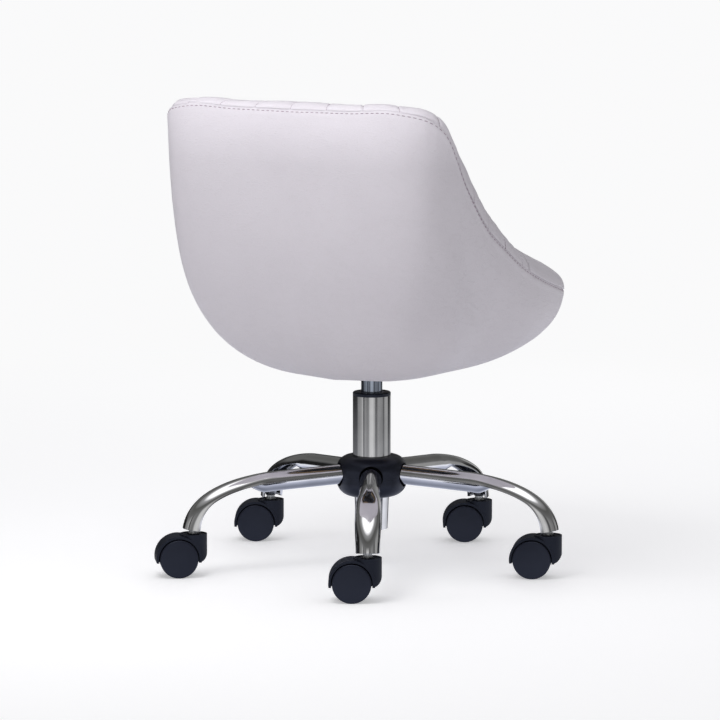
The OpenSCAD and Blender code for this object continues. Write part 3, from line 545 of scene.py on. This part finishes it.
def seam_row(face, n, to_seam, inset):
    """Points and normals of a closed row that keeps a fixed distance under the seam."""
    row, normals = [], []
    for j in range(face.shape[1]):
        k = to_seam[:, j]
        row.append([np.interp(-inset, -k, face[:, j, i]) for i in range(3)])
        normals.append([np.interp(-inset, -k, n[:, j, i]) for i in range(3)])
    row, normals = np.array(row), np.array(normals)
    return np.concatenate([row, row[:1]]), np.concatenate([normals, normals[:1]])


# ------------------------------------------------------------------ cloth

def inflate(name, p, faces, pins, pressure, cap, frames=20, mass=0.35):
    """Cloth simulation of a sheet of points (n, 3) in mm, pinned where pins is 1 and pushed out along its
    normals. Returns the moved points, each held within cap mm of where it started."""
    me = bpy.data.meshes.new(name)
    me.from_pydata((p * MM).tolist(), [], [list(f) for f in faces])
    me.update()
    ob = bpy.data.objects.new(name, me)
    scene = bpy.context.scene
    scene.collection.objects.link(ob)
    g = ob.vertex_groups.new(name="pin")
    for w in np.unique(np.round(pins, 2)):
        if w > 0:
            g.add(np.nonzero(np.abs(np.round(pins, 2) - w) < 1e-6)[0].tolist(), float(w), "REPLACE")
    mod = ob.modifiers.new("cloth", "CLOTH")
    st = mod.settings
    st.quality = 5
    st.mass = mass
    st.tension_stiffness = st.compression_stiffness = 12
    st.shear_stiffness = 6
    st.bending_stiffness = 1.2
    st.tension_damping = st.compression_damping = 15
    st.air_damping = 4
    st.use_pressure = True
    st.uniform_pressure_force = pressure
    st.vertex_group_mass = "pin"
    st.shrink_min = -0.03
    st.effector_weights.gravity = 0
    mod.collision_settings.use_collision = False
    mod.collision_settings.use_self_collision = False
    mod.point_cache.frame_start, mod.point_cache.frame_end = 1, frames
    for f in range(1, frames + 1):
        scene.frame_set(f)
    dg = bpy.context.evaluated_depsgraph_get()
    ev = ob.evaluated_get(dg)
    q = np.empty(len(p) * 3)
    ev.data.vertices.foreach_get("co", q)
    q = q.reshape(-1, 3) / MM
    scene.frame_set(1)
    bpy.data.objects.remove(ob)
    bpy.data.meshes.remove(me)
    d = q - p
    size = np.linalg.norm(d, axis=1, keepdims=True)
    return p + d * np.minimum(1, cap / np.maximum(size, 1e-9))


def upsample(f, rows, cols):
    """Bilinear resampling of a grid (r, c, k) to (rows, cols, k)."""
    r, c = f.shape[:2]
    i, j = np.linspace(0, r - 1, rows), np.linspace(0, c - 1, cols)
    i0, j0 = np.minimum(i.astype(int), r - 2), np.minimum(j.astype(int), c - 2)
    fi, fj = smooth_half(i - i0)[:, None, None], smooth_half(j - j0)[None, :, None]
    a, b = f[i0][:, j0], f[i0][:, j0 + 1]
    c_, d = f[i0 + 1][:, j0], f[i0 + 1][:, j0 + 1]
    return (a * (1 - fj) + b * fj) * (1 - fi) + (c_ * (1 - fj) + d * fj) * fi


def soften(f, across, along):
    """Running mean of a field on a closed grid (rows, columns, 3), twice over, to take out tight folds."""
    for _ in range(2):
        f = sum(np.roll(f, k, 1) for k in range(-across, across + 1)) / (2 * across + 1)
        padded = np.concatenate([f[:1]] * along + [f] + [f[-1:]] * along)
        f = sum(padded[k:k + len(f)] for k in range(2 * along + 1)) / (2 * along + 1)
    return f


def smooth_half(u):
    return mix(u, smooth(u), 0.5)


# ------------------------------------------------------------------ quilted back

PITCH = 50.0         # between tucks along the rim, mm
ROW = 42.0           # half the height of a diamond
TOP_ROW = 46.0       # length of the straight tucks below the crest
TUCK_SHADE_FROM = 7.0      # painted shade: a dark thread-coloured line lies in each tuck's fold from this far below the crest to the seam
# Pitch, length and radius of the capsules of painted fold shade in the tucks.
TUCK_PITCH, TUCK_LONG, TUCK_R = 3.2, 2.9, 0.38
BACK_A = CREASE_A * 0.996
UNDER_IN = 13.0      # underside of the back and the cushion, mm under the cover's face


def back_path(a, rows):
    """Even rows of points from the crease up the sitting face and over the rim to the seam, and how far each
    point is below the crest of the rim in mm."""
    fine = 60
    start = crease(a) + CREASE_GAP
    u = mix(start[None, :], 1.0, np.linspace(0, 1, fine)[:, None])
    roll = roll_point(a[None, :], np.linspace(0, 1, 24)[:, None])
    p = np.concatenate([sit_point(a[None, :], u)[:-1], roll])
    seg = np.linalg.norm(np.diff(p, axis=0), axis=-1)
    s = np.concatenate([np.zeros((1, p.shape[1])), seg.cumsum(0)])
    out = np.empty((rows, p.shape[1], 3))
    left = np.empty((rows, p.shape[1]))
    crest = s[fine - 1] + (s[-1] - s[fine - 1]) * 0.5
    for j in range(p.shape[1]):
        w = np.linspace(0, s[-1, j], rows)
        for k in range(3):
            out[:, j, k] = np.interp(w, s[:, j], p[:, j, k])
        left[:, j] = crest[j] - w
    return out, left


def pleat_distance(s, t):
    """Distance in mm to the nearest pleat: straight tucks from the rim, diamonds below them."""
    u = s / PITCH
    w = (t - TOP_ROW) / (2 * ROW)
    scale = 1 / math.hypot(1 / PITCH, 1 / (2 * ROW))
    diamond = np.minimum(off_whole(u + w), off_whole(u - w)) * scale
    tuck = off_whole(u) * PITCH
    return np.where(t < TOP_ROW, tuck, diamond)


def off_whole(v):
    """How far v is from the nearest whole number."""
    return np.abs(v - np.round(v))


def facing_lift(p, n):
    """For each normal, how much of it points at the lift's axis."""
    inward = -np.stack([p[..., 0], p[..., 1], np.zeros_like(p[..., 0])], -1)
    return (n * inward).sum(-1)


def quilted_back():
    """Inner cover and foam of the back and arms, from the seat's crease over the rim to the seam."""
    cols, rows = 161, 56
    a = np.linspace(-BACK_A, BACK_A, cols)
    # even steps along the rim
    dense = np.linspace(-BACK_A, BACK_A, 1201)
    crest = roll_point(dense, 0.5)
    run = np.concatenate([[0], np.linalg.norm(np.diff(crest, axis=0), axis=1).cumsum()])
    mid = np.interp(0, dense, run)
    total = run[-1]

    def columns(count):
        s = np.linspace(0, total, count)
        return np.interp(s, run, dense), s - mid

    a, s = columns(cols)
    p, left = back_path(a, rows)
    n = normals_of(p)
    n *= np.sign(facing_lift(p, n)[rows // 3].mean())
    dist = pleat_distance(s[None, :], left)
    edge = np.minimum.reduce([np.arange(rows)[:, None] * 5.0 + np.zeros(cols)[None, :],
                              (rows - 1 - np.arange(rows))[:, None] * 5.0 + np.zeros(cols)[None, :],
                              np.minimum(s - s[0], s[-1] - s)[None, :] + np.zeros(rows)[:, None]])
    pins = np.clip(1.25 - np.minimum(dist / 5.0, edge / 6.0), 0, 1)
    flat = p.reshape(-1, 3)
    faces = grid_faces(rows, cols)
    # faces are wound so that the pressure pushes towards the sitter
    f0 = faces[len(faces) // 3]
    fn = np.cross(flat[f0[1]] - flat[f0[0]], flat[f0[2]] - flat[f0[0]])
    if fn @ n.reshape(-1, 3)[f0[0]] < 0:
        faces = [f[::-1] for f in faces]
    seedling = p + n * (2.0 * smooth(dist / 20) * smooth(edge / 12))[..., None]
    q = inflate("back_sheet", seedling.reshape(-1, 3), faces, pins.reshape(-1), 5.0, 8.0)
    q = q.reshape(p.shape)
    move = ((q - p) * n).sum(-1, keepdims=True)
    side = (q - p) - move * n
    C, R = ((641, 210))
    a2, s2 = columns(C)
    p2, left2 = back_path(a2, R)
    n2 = normals_of(p2)
    n2 *= np.sign(facing_lift(p2, n2)[R // 3].mean())
    m2 = upsample(move, R, C)[..., 0]
    side2 = upsample(side, R, C)
    d2 = pleat_distance(s2[None, :], left2)
    over = smooth((-left2) / 14)                        # past the crest, going down to the seam
    # the padding is thin along the crest
    crest = 1 - 0.9 * hump(np.minimum(left2, 0), 0, 12) * hump(np.maximum(left2 - 8, 0), 0, 22)
    depth = mix(1.0, 0.8, over)
    from_crease = np.linspace(0, 1, R)[:, None] * 300 + np.zeros(C)
    from_ends = np.minimum(s2 - s2[0], s2[-1] - s2)[None, :] + np.zeros(R)[:, None]
    e2 = np.minimum(from_crease, from_ends)
    m2 = np.clip(m2, -1, 9) * smooth((d2 - 0.4) / 7) * smooth(e2 / 10)
    m2 = m2 * crest * mix(1.0, 0.1, over) - 1.9 * depth * hump(d2, 0, 1.5) * smooth(e2 / 8)
    # fine uneven surface between the pleats
    m2 += 0.16 * wrinkle(p2, 0.09, 5.0) * smooth(d2 / 6)
    q2 = p2 + n2 * m2[..., None] + side2 * smooth(d2 / 8)[..., None] * (1 - over)[..., None]
    start = crease(a2) + CREASE_GAP
    fine = np.linspace(0, 1, 40)[:, None]
    under = shell_point(a2[None, :], mix(start[None, :], 0.99, 1 - fine), UNDER_IN)
    loops = np.concatenate([q2, under]).transpose(1, 0, 2)
    m = loops.shape[1]
    faces = grid_faces(C, m, False, True)
    faces.append(tuple(range(m - 1, -1, -1)))
    faces.append(tuple((C - 1) * m + j for j in range(m)))
    ob = mesh_object("back_quilted_cover", loops.reshape(-1, 3), faces, "seat", [INNER])
    fix_normals(ob)
    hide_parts("back_cover", "back_foam")
    # painted shade: thread-coloured capsules laid in each tuck's fold over the rim paint the fold's shadow as
    # a dark line
    runs = []
    for k in range(-int(mid / PITCH), int((total - mid) / PITCH) + 1):
        j = int(np.argmin(np.abs(s2 - k * PITCH)))
        on = left2[:, j] < TUCK_SHADE_FROM
        runs.append((q2[on, j], n2[on, j]))
    stitches("rim_tuck_fold_shade", runs, "seat", TUCK_PITCH, TUCK_LONG, TUCK_R)


# ------------------------------------------------------------------ seat cushion

SEAT_LINE = 36.0       # sewn line, mm inside the crease or the front roll
BOARD_TOP = 308.0
CROWN = 7.0            # rise of the cushion's middle


def seat_cushion():
    """Cover and foam of the seat, over the front rim to the seam."""
    cols, rows = 144, 44
    a = np.arange(cols) * 360 / cols - 180

    def paths(a, rows):
        front = np.abs(a) >= CREASE_A
        end = np.where(front, 1.0, crease(np.minimum(np.abs(a), CREASE_A)) - CREASE_GAP)
        fine = 60
        u = end[None, :] * (np.arange(1, fine + 1) / fine)[:, None]
        p = sit_point(a[None, :], u)
        roll = roll_point(a[None, :], np.linspace(0, 1, 20)[1:, None])
        down = p[-1:] + np.linspace(0, 1, 20)[1:, None, None] * np.array([0, 0, -0.3])
        p = np.concatenate([p, np.where(front[None, :, None], roll, down)])
        seg = np.linalg.norm(np.diff(p, axis=0), axis=-1)
        s = np.concatenate([np.zeros((1, p.shape[1])), seg.cumsum(0)])
        out = np.empty((rows, p.shape[1], 3))
        left, inner = np.empty((2, rows, p.shape[1]))
        sit_rows = int(rows * 0.72)
        for j in range(p.shape[1]):
            w = np.concatenate([np.linspace(0, s[fine - 1, j], sit_rows),
                                np.linspace(s[fine - 1, j], s[-1, j], rows - sit_rows + 1)[1:]])
            for k in range(3):
                out[:, j, k] = np.interp(w, s[:, j], p[:, j, k])
            left[:, j] = s[-1, j] - w
            inner[:, j] = s[fine - 1, j] - w
        return out, left, inner

    p, left, inner = paths(a, rows)
    up = np.array([0, 0, 1.0])
    pins = np.clip(1.2 - left / 9.0, 0, 1)
    pole = np.array([[0, 0, SIT]])
    flat = np.concatenate([p.reshape(-1, 3), pole])
    faces = [f[::-1] for f in grid_faces(rows, cols, False, True)]
    last = rows * cols
    faces += [(last, j, (j + 1) % cols) for j in range(cols)]
    f0 = faces[cols * 3]
    if np.cross(flat[f0[1]] - flat[f0[0]], flat[f0[2]] - flat[f0[0]])[2] < 0:
        faces = [f[::-1] for f in faces]
    crown = CROWN * smooth((inner + 30) / 110)
    half_up = (p + up * (0.5 * crown)[..., None]).reshape(-1, 3)
    seedling = np.concatenate([half_up, pole + up * 0.5 * CROWN])
    q = inflate("seat_sheet", seedling, faces, np.concatenate([pins.reshape(-1), [0]]), 3.0, 9.0)
    q = q[:-1].reshape(p.shape)
    move = soften(q - p, 5, 2)
    # all columns meet at the middle of the seat, so they agree there
    ease = smooth(np.arange(rows) / 12)[:, None, None]
    move = mix(move[12].mean(0), move, ease)
    C, R = ((576, 170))
    a2 = np.arange(C) * 360 / C - 180
    p2, left2, inner2 = paths(a2, R)
    wrapped = np.concatenate([move, move[:, :1]], 1)
    m2 = upsample(wrapped, R, C + 1)[:, :-1]
    n2 = normals_of(p2, True)
    n2 *= np.sign(n2[R // 2, :, 2].mean())
    front2 = np.abs(a2) >= CREASE_A
    d = 0.35 * wrinkle(p2, 0.02, 9.0) * smooth(left2 / 20) + 0.15 * wrinkle(p2, 0.07, 2.0)
    # a sewn line runs round inside the crease and the front roll
    d -= 1.7 * hump(inner2, SEAT_LINE, 2.2)
    q2 = p2 + m2 + n2 * d[..., None]
    centre = q2[1].mean(0)
    q2[0] = centre + (q2[1] - centre) * 0.4
    under = BOARD_TOP + 2.2
    low = []
    end = np.where(front2, 0.99, crease(np.minimum(np.abs(a2), CREASE_A)) - CREASE_GAP)
    for w in np.linspace(1, 0.06, 30):
        lp = shell_point(a2, end * w, UNDER_IN)
        lp[..., 2] = np.maximum(lp[..., 2], under)
        low.append(lp)
    grid = np.concatenate([q2, np.array(low)]).transpose(1, 0, 2)
    m = grid.shape[1]
    co = np.concatenate([grid.reshape(-1, 3), [centre, [0, 0, under]]])
    faces = grid_faces(C, m, True, False)
    top, bottom = C * m, C * m + 1
    faces += [(top, ((i + 1) % C) * m, i * m) for i in range(C)]
    faces += [(bottom, i * m + m - 1, ((i + 1) % C) * m + m - 1) for i in range(C)]
    ob = mesh_object("seat_cushion", co, faces, "seat", [INNER])
    fix_normals(ob)
    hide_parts("seat_cover", "seat_foam")
    line_row = seam_row(q2, n2, inner2, SEAT_LINE)
    stitches("seat_line_stitches", [line_row], "seat", STITCH_PITCH, STITCH_LONG, STITCH_R)


# ------------------------------------------------------------------ star legs

# Radii of the leg's root, bend and tip, heights, and its widths at the root, pressed part and tip, in mm
LEG_Z = 125.5
LEG = dict(root=32.03, bend=140.0, tip_r=257.0, tip_z=63.0, w0=28.0, w1=34.0, w2=31.0, h=26.0, pressed=12.5,
           web=4.4, tip_h=20.0, drop=6.0)
STRAIGHT = 0.4       # share of the leg's length that is straight
BORE = 0.87          # the tube's bore, as a share of its outside


def leg_section(s, a):
    """Point (radius, across, height) of the leg's skin, s along it and a round it in degrees."""
    L = LEG
    root = np.array([L["root"], LEG_Z + L["h"] / 2])
    bend = [L["bend"], LEG_Z + L["h"] / 2 - L["drop"]]
    bz = np.array([bend, [200, 126], [250, 106], [L["tip_r"], L["tip_z"]]])
    s = np.asarray(s, float)
    u = np.clip((s - STRAIGHT) / (1 - STRAIGHT), 0, 1)[..., None]
    curve = (1 - u) ** 3 * bz[0] + 3 * u * (1 - u) ** 2 * bz[1] + 3 * u**2 * (1 - u) * bz[2] + u**3 * bz[3]
    slope = (3 * (1 - u) ** 2 * (bz[1] - bz[0]) + 6 * u * (1 - u) * (bz[2] - bz[1])
             + 3 * u**2 * (bz[3] - bz[2]))
    w = np.clip(s / STRAIGHT, 0, 1)[..., None]
    c = np.where(s[..., None] < STRAIGHT, root + (bz[0] - root) * w, curve)
    t = np.where(s[..., None] < STRAIGHT, bz[0] - root, slope)
    t = t / np.linalg.norm(t, axis=-1, keepdims=True)
    n = np.stack([-t[..., 1], t[..., 0]], -1)
    pr = smooth((c[..., 0] - 148) / 42)
    tp = smooth((s - 0.72) / 0.28)
    half = mix(mix(L["w0"], L["w1"], pr), L["w2"], tp) / 2
    rise = mix(mix(L["h"] / 2, L["pressed"], pr), L["tip_h"], tp)
    under = mix(-L["h"] / 2, rise - L["web"] + 0.4 * tp, pr)
    over = a <= 180
    rad = np.radians(a)
    across = np.where(over, half, half - 3.2 * pr) * np.cos(rad)
    up = np.where(over, rise * np.sin(rad), -under * np.sin(rad))
    q = c + n * (up - rise)[..., None]
    r = np.where(s <= 0, np.sqrt(np.maximum(L["root"] ** 2 - across**2, 0)), q[..., 0])
    return np.stack([r, across, q[..., 1]], -1)


def star_leg(k):
    """One chrome leg: a round tube at the hub, pressed to a channel towards the tip."""
    pos = joints[f"caster_{k}_swivel"]["pos_m"]
    turn = math.atan2(pos[1], pos[0])
    rows, sides = 90, 64
    s = np.linspace(0, 1, rows)
    a = np.arange(sides) * 360 / sides
    p = leg_section(np.repeat(s[:, None], sides, 1), np.repeat(a[None, :], rows, 0))
    inner_rows = 24
    s_in = np.linspace(0, STRAIGHT, inner_rows)
    q = leg_section(np.repeat(s_in[:, None], sides, 1), np.repeat(a[None, :], inner_rows, 0))
    mid = np.repeat(q.mean(1, keepdims=True), sides, 1)
    mid[..., 0] = q[..., 0]
    q = mid + (q - mid) * BORE
    co = np.concatenate([p.reshape(-1, 3), q.reshape(-1, 3)])
    faces = grid_faces(rows, sides, False, True)
    o = rows * sides
    faces += [f[::-1] for f in grid_faces(inner_rows, sides, False, True, o)]
    faces += [(j, (j + 1) % sides, o + (j + 1) % sides, o + j) for j in range(sides)]
    faces.append(tuple(o + (inner_rows - 1) * sides + j for j in range(sides)))
    h = sides // 2
    t0 = (rows - 1) * sides
    for j in range(h):
        b = [t0 + j, t0 + j + 1, t0 + (sides - j - 1) % sides, t0 + (sides - j) % sides]
        faces.append(tuple(dict.fromkeys(b)))
    c, sn = math.cos(turn), math.sin(turn)
    co = np.stack([co[:, 0] * c - co[:, 1] * sn, co[:, 0] * sn + co[:, 1] * c, co[:, 2]], -1)
    ob = mesh_object(f"leg_{k}_pressed_tube", co, faces, "base", [CHROME])
    fix_normals(ob)
    ob.data.set_sharp_from_angle(angle=math.radians(EDGE_ANGLE))
    mod = ob.modifiers.new("edge", "BEVEL")
    mod.width, mod.segments, mod.limit_method = 0.0005, 2, "ANGLE"
    mod.angle_limit = math.radians(EDGE_ANGLE)
    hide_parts(f"star_leg_{k}")


# ------------------------------------------------------------------ casters

def wheel(k, side):
    """Twin-wheel half: crowned cap, rounded shoulder, hub and rim behind the cap."""
    spin = joints[f"wheel_{k}_{side}_spin"]
    axis = np.array(spin["axis"], float)
    outline = [(0, 22.1), (9, 21.95), (16, 21.6), (22.3, 21.0), (25, 20.6), (25, 6.3), (21.9, 6.3),
               (21.9, 18.7), (6.6, 18.7), (6.6, 6.3), (3.06, 6.3), (3.06, 19.2), (0, 19.2)]
    radii = [0, 0, 0, 2.6, 2.3, 0.9, 0.5, 1, 1, 0.5, 0.3, 0, 0]
    pr = round_outline(outline, radii, 6)
    way = 1 if side == "far" else -1
    pr[:, 1] *= way
    turn = math.atan2(-axis[0], axis[1])
    at = np.array(spin["pos_m"]) / MM
    ob = lathe(f"wheel_{k}_{side}_tread", pr, f"wheel_{k}_{side}", [WHEEL], 96, at, turn)
    ob.data.set_sharp_from_angle(angle=math.radians(EDGE_ANGLE))
    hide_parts(f"caster_wheel_{k}_{side}")


# ------------------------------------------------------------------ build

cover_face, cover_n, cover_to_seam = outer_cover()
rim_row = seam_row(cover_face, cover_n, cover_to_seam, STITCH_IN)
stitches("rim_seam_stitches", [rim_row], "seat", STITCH_PITCH, STITCH_LONG, STITCH_R)
quilted_back()
seat_cushion()
for k in range(1, 6):
    star_leg(k)
    wheel(k, "near")
    wheel(k, "far")

# CAD nodes that show as they are: material, and how far their edges are softened in mm
LOOKS = {
    "hub_ring": (PAINT, 0), "hub_cover_upper": (HUB, 0.5), "hub_cover_lower": (HUB, 0.5),
    "caster_sockets": (STEEL, 0.2), "caster_stems": (STEEL, 0.1), "stem_grip_rings": (STEEL, 0),
    "column_tube": (CHROME, 0.3), "guide_bush": (HUB, 0.3), "thrust_lower_race": (STEEL, 0),
    "thrust_balls": (STEEL, 0), "thrust_upper_race": (STEEL, 0), "piston_rod": (TUBE, 0),
    "rod_retaining_clip": (STEEL, 0), "bump_stop": (RUBBER, 0), "piston": (STEEL, 0),
    "pressure_tube": (TUBE, 0), "rod_guide": (RUBBER, 0), "valve_block": (STEEL, 0),
    "valve_pin": (STEEL, 0), "taper_socket": (PAINT, 0.2), "seat_plate": (PAINT, 0.3),
    "lever_pivot_pin": (STEEL, 0.1), "lever_rod": (PAINT, 0), "lever_grip": (GRIP, 0.4),
    "seat_bolts": (STEEL, 0.2), "bolt_washers": (STEEL, 0.1), "tee_nuts": (STEEL, 0),
    "seat_board": (PLY, 0),
}
for k in range(1, 6):
    LOOKS[f"caster_hood_{k}"] = (CASTER, 0.6)
    LOOKS[f"caster_axle_{k}"] = (STEEL, 0)
    LOOKS[f"caster_wheel_{k}_near"] = (WHEEL, 0)
    LOOKS[f"caster_wheel_{k}_far"] = (WHEEL, 0)
for name, (material, bevel) in LOOKS.items():
    dress_cad(name, material, bevel)

# ------------------------------------------------------------------ stage, light, camera

BACKDROP = (0.955, 0.955, 0.96)
floor_mesh = bpy.data.meshes.new("floor")
floor_mesh.from_pydata([(-80, -80, 0), (80, -80, 0), (80, 80, 0), (-80, 80, 0)], [], [(0, 1, 2, 3)])
floor = bpy.data.objects.new("floor", floor_mesh)
bpy.context.scene.collection.objects.link(floor)
fm, fnt, fb = new_material("floor_paint")
fn = noise_tex(fnt, coords(fnt), 3.0, 2.0)
paint = ramp(fnt, fn, [(0.3, (0.915, 0.915, 0.92)), (0.7, (0.925, 0.925, 0.93))])
fnt.links.new(paint, fb.inputs["Base Color"])
fb.inputs["Roughness"].default_value = 0.9
fb.inputs["Specular IOR Level"].default_value = 0.1
fb.inputs["Emission Color"].default_value = (1, 1, 1, 1)
fb.inputs["Emission Strength"].default_value = 0.32
# Far from the stool the floor fades into the backdrop, so that no horizon shows.
far = node(fnt, "ShaderNodeVectorMath", operation="LENGTH")
fnt.links.new(coords(fnt), far.inputs[0])
fade = map_range(fnt, far.outputs["Value"], 0.55, 2.2, 0.0, 1.0)
glow = node(fnt, "ShaderNodeEmission")
glow.inputs["Color"].default_value = (*BACKDROP, 1)
blend = node(fnt, "ShaderNodeMixShader")
fnt.links.new(fade, blend.inputs[0])
fnt.links.new(fb.outputs["BSDF"], blend.inputs[1])
fnt.links.new(glow.outputs["Emission"], blend.inputs[2])
# Mirror rays, and views from below, pass through the floor.
gone = node(fnt, "ShaderNodeBsdfTransparent")
ray = node(fnt, "ShaderNodeLightPath")
side_seen = node(fnt, "ShaderNodeNewGeometry")
either = node(fnt, "ShaderNodeMath", operation="MAXIMUM")
fnt.links.new(ray.outputs["Is Glossy Ray"], either.inputs[0])
fnt.links.new(side_seen.outputs["Backfacing"], either.inputs[1])
final = node(fnt, "ShaderNodeMixShader")
fnt.links.new(either.outputs[0], final.inputs[0])
fnt.links.new(blend.outputs["Shader"], final.inputs[1])
fnt.links.new(gone.outputs["BSDF"], final.inputs[2])
fnt.links.new(final.outputs["Shader"], fnt.nodes["Material Output"].inputs["Surface"])
floor.data.materials.append(fm)

TARGET = Vector((0.0131, 0.0083, 0.2745))
EYE = Vector((-2.7169, 4.3128, 0.9512))
cam_data = bpy.data.cameras.new("camera")
cam = bpy.data.objects.new("camera", cam_data)
bpy.context.scene.collection.objects.link(cam)
cam.location = EYE
cam.rotation_euler = (TARGET - EYE).to_track_quat("-Z", "Y").to_euler()
cam_data.lens, cam_data.sensor_width = 195.7, 36.0
cam_data.clip_end = 50
bpy.context.scene.camera = cam

toward = (EYE - TARGET)
toward.z = 0
toward.normalize()
right = Vector((-toward.y, toward.x, 0))


def area(name, side, out, height, size, power):
    """Soft light placed by the camera's own right and depth, aimed at the stool."""
    d = bpy.data.lights.new(name, "AREA")
    d.shape, d.size, d.energy = "SQUARE", size, power
    o = bpy.data.objects.new(name, d)
    bpy.context.scene.collection.objects.link(o)
    o.location = right * side + toward * out + Vector((0, 0, height))
    o.rotation_euler = (Vector((0, 0, 0.35)) - o.location).to_track_quat("-Z", "Y").to_euler()
    o.visible_glossy = False
    return o


area("left", -2.4, 0.6, 1.0, 1.2, 4.5)
area("top", -0.35, 0.50, 1.12, 0.5, 3.4)
area("nose", 2.3, -0.7, 0.55, 0.6, 2.2)
area("front", 0.3, -2.4, 1.4, 1.2, 8)

# Sheen: a light that only leather and plastic answer to, so that the chrome keeps its own panels.
matt = bpy.data.collections.new("matt_pieces")
for ob in bpy.context.scene.objects:
    finish = ob.data.materials[0] if ob.type == "MESH" and ob.data.materials else None
    if finish in (OUTER, INNER, CASTER, WHEEL, HUB, GRIP):
        matt.objects.link(ob)
sheen = area("sheen", -0.6, 1.6, 2.1, 1.3, 5)
sheen.visible_glossy = True
sheen.light_linking.receiver_collection = matt

world = bpy.data.worlds.new("studio")
bpy.context.scene.world = world
world.use_nodes = True
wt = world.node_tree
bg = wt.nodes["Background"]
tc = wt.nodes.new("ShaderNodeTexCoord")
spin = node(wt, "ShaderNodeMapping")
spin.inputs["Rotation"].default_value = (0, 0, -math.atan2(toward.y, toward.x))
wt.links.new(tc.outputs["Generated"], spin.inputs["Vector"])
sep = wt.nodes.new("ShaderNodeSeparateXYZ")
wt.links.new(spin.outputs["Vector"], sep.inputs["Vector"])
turn = node(wt, "ShaderNodeMath", operation="ARCTAN2")
wt.links.new(sep.outputs["Y"], turn.inputs[0])
wt.links.new(sep.outputs["X"], turn.inputs[1])
# Light panels round the studio by bearing from the camera (degrees, brightness): what upright chrome mirrors.
PANELS = [(-180, 0.05), (-128, 0.012), (-100, 0.015), (-92, 0.20), (-66, 0.30), (-57, 0.52), (-53, 0.05),
          (-47, 0.05), (-43, 0.24), (-26, 0.16), (-19, 0.20), (-12, 0.55), (4, 0.62), (16, 0.42), (23, 0.08),
          (32, 0.10), (37, 0.26), (68, 0.20), (75, 0.07), (80, 0.07), (85, 0.30), (111, 0.34), (117, 0.015),
          (141, 0.015), (150, 0.55), (160, 0.30), (180, 0.05)]
panels = ramp(wt, map_range(wt, turn.outputs["Value"], -math.pi, math.pi, 0.0, 1.0),
              [((a + 180) / 360, (v, v, v * 0.98)) for a, v in PANELS])
# Bands from the ground up: pale ground, dark walls over the panels, one bright panel overhead.
height = map_range(wt, sep.outputs["Z"], -1.0, 1.0, 0.0, 1.0)
bands = ramp(wt, height,
             [(0.0, (0.20, 0.22, 0.28)), (0.25, (0.55, 0.58, 0.70)), (0.36, (1.0, 1.02, 1.1)),
              (0.44, (0.75, 0.76, 0.8)), (0.58, (0.18, 0.18, 0.18)), (0.80, (0.10, 0.10, 0.095)),
              (0.90, (0.35, 0.35, 0.35)), (0.95, (1.5, 1.5, 1.5)), (1.0, (1.3, 1.3, 1.3))])
DARK, LIGHT = (0, 0, 0), (1, 1, 1)
wall = ramp(wt, height,
            [(0.0, DARK), (0.38, DARK), (0.43, LIGHT), (0.60, LIGHT), (0.70, DARK), (1.0, DARK)])
mirror = wt.nodes.new("ShaderNodeMixRGB")
wt.links.new(wall, mirror.inputs["Fac"])
wt.links.new(bands, mirror.inputs["Color1"])
wt.links.new(panels, mirror.inputs["Color2"])
lp = wt.nodes.new("ShaderNodeLightPath")
soft = wt.nodes.new("ShaderNodeMixRGB")
soft.inputs["Color1"].default_value = (0.50, 0.50, 0.515, 1)
wt.links.new(lp.outputs["Is Glossy Ray"], soft.inputs["Fac"])
wt.links.new(mirror.outputs["Color"], soft.inputs["Color2"])
plain = wt.nodes.new("ShaderNodeMixRGB")
plain.inputs["Color2"].default_value = (*BACKDROP, 1)
wt.links.new(lp.outputs["Is Camera Ray"], plain.inputs["Fac"])
wt.links.new(soft.outputs["Color"], plain.inputs["Color1"])
wt.links.new(plain.outputs["Color"], bg.inputs["Color"])
bg.inputs["Strength"].default_value = 1.0
bpy.context.scene.view_settings.view_transform = "Standard"
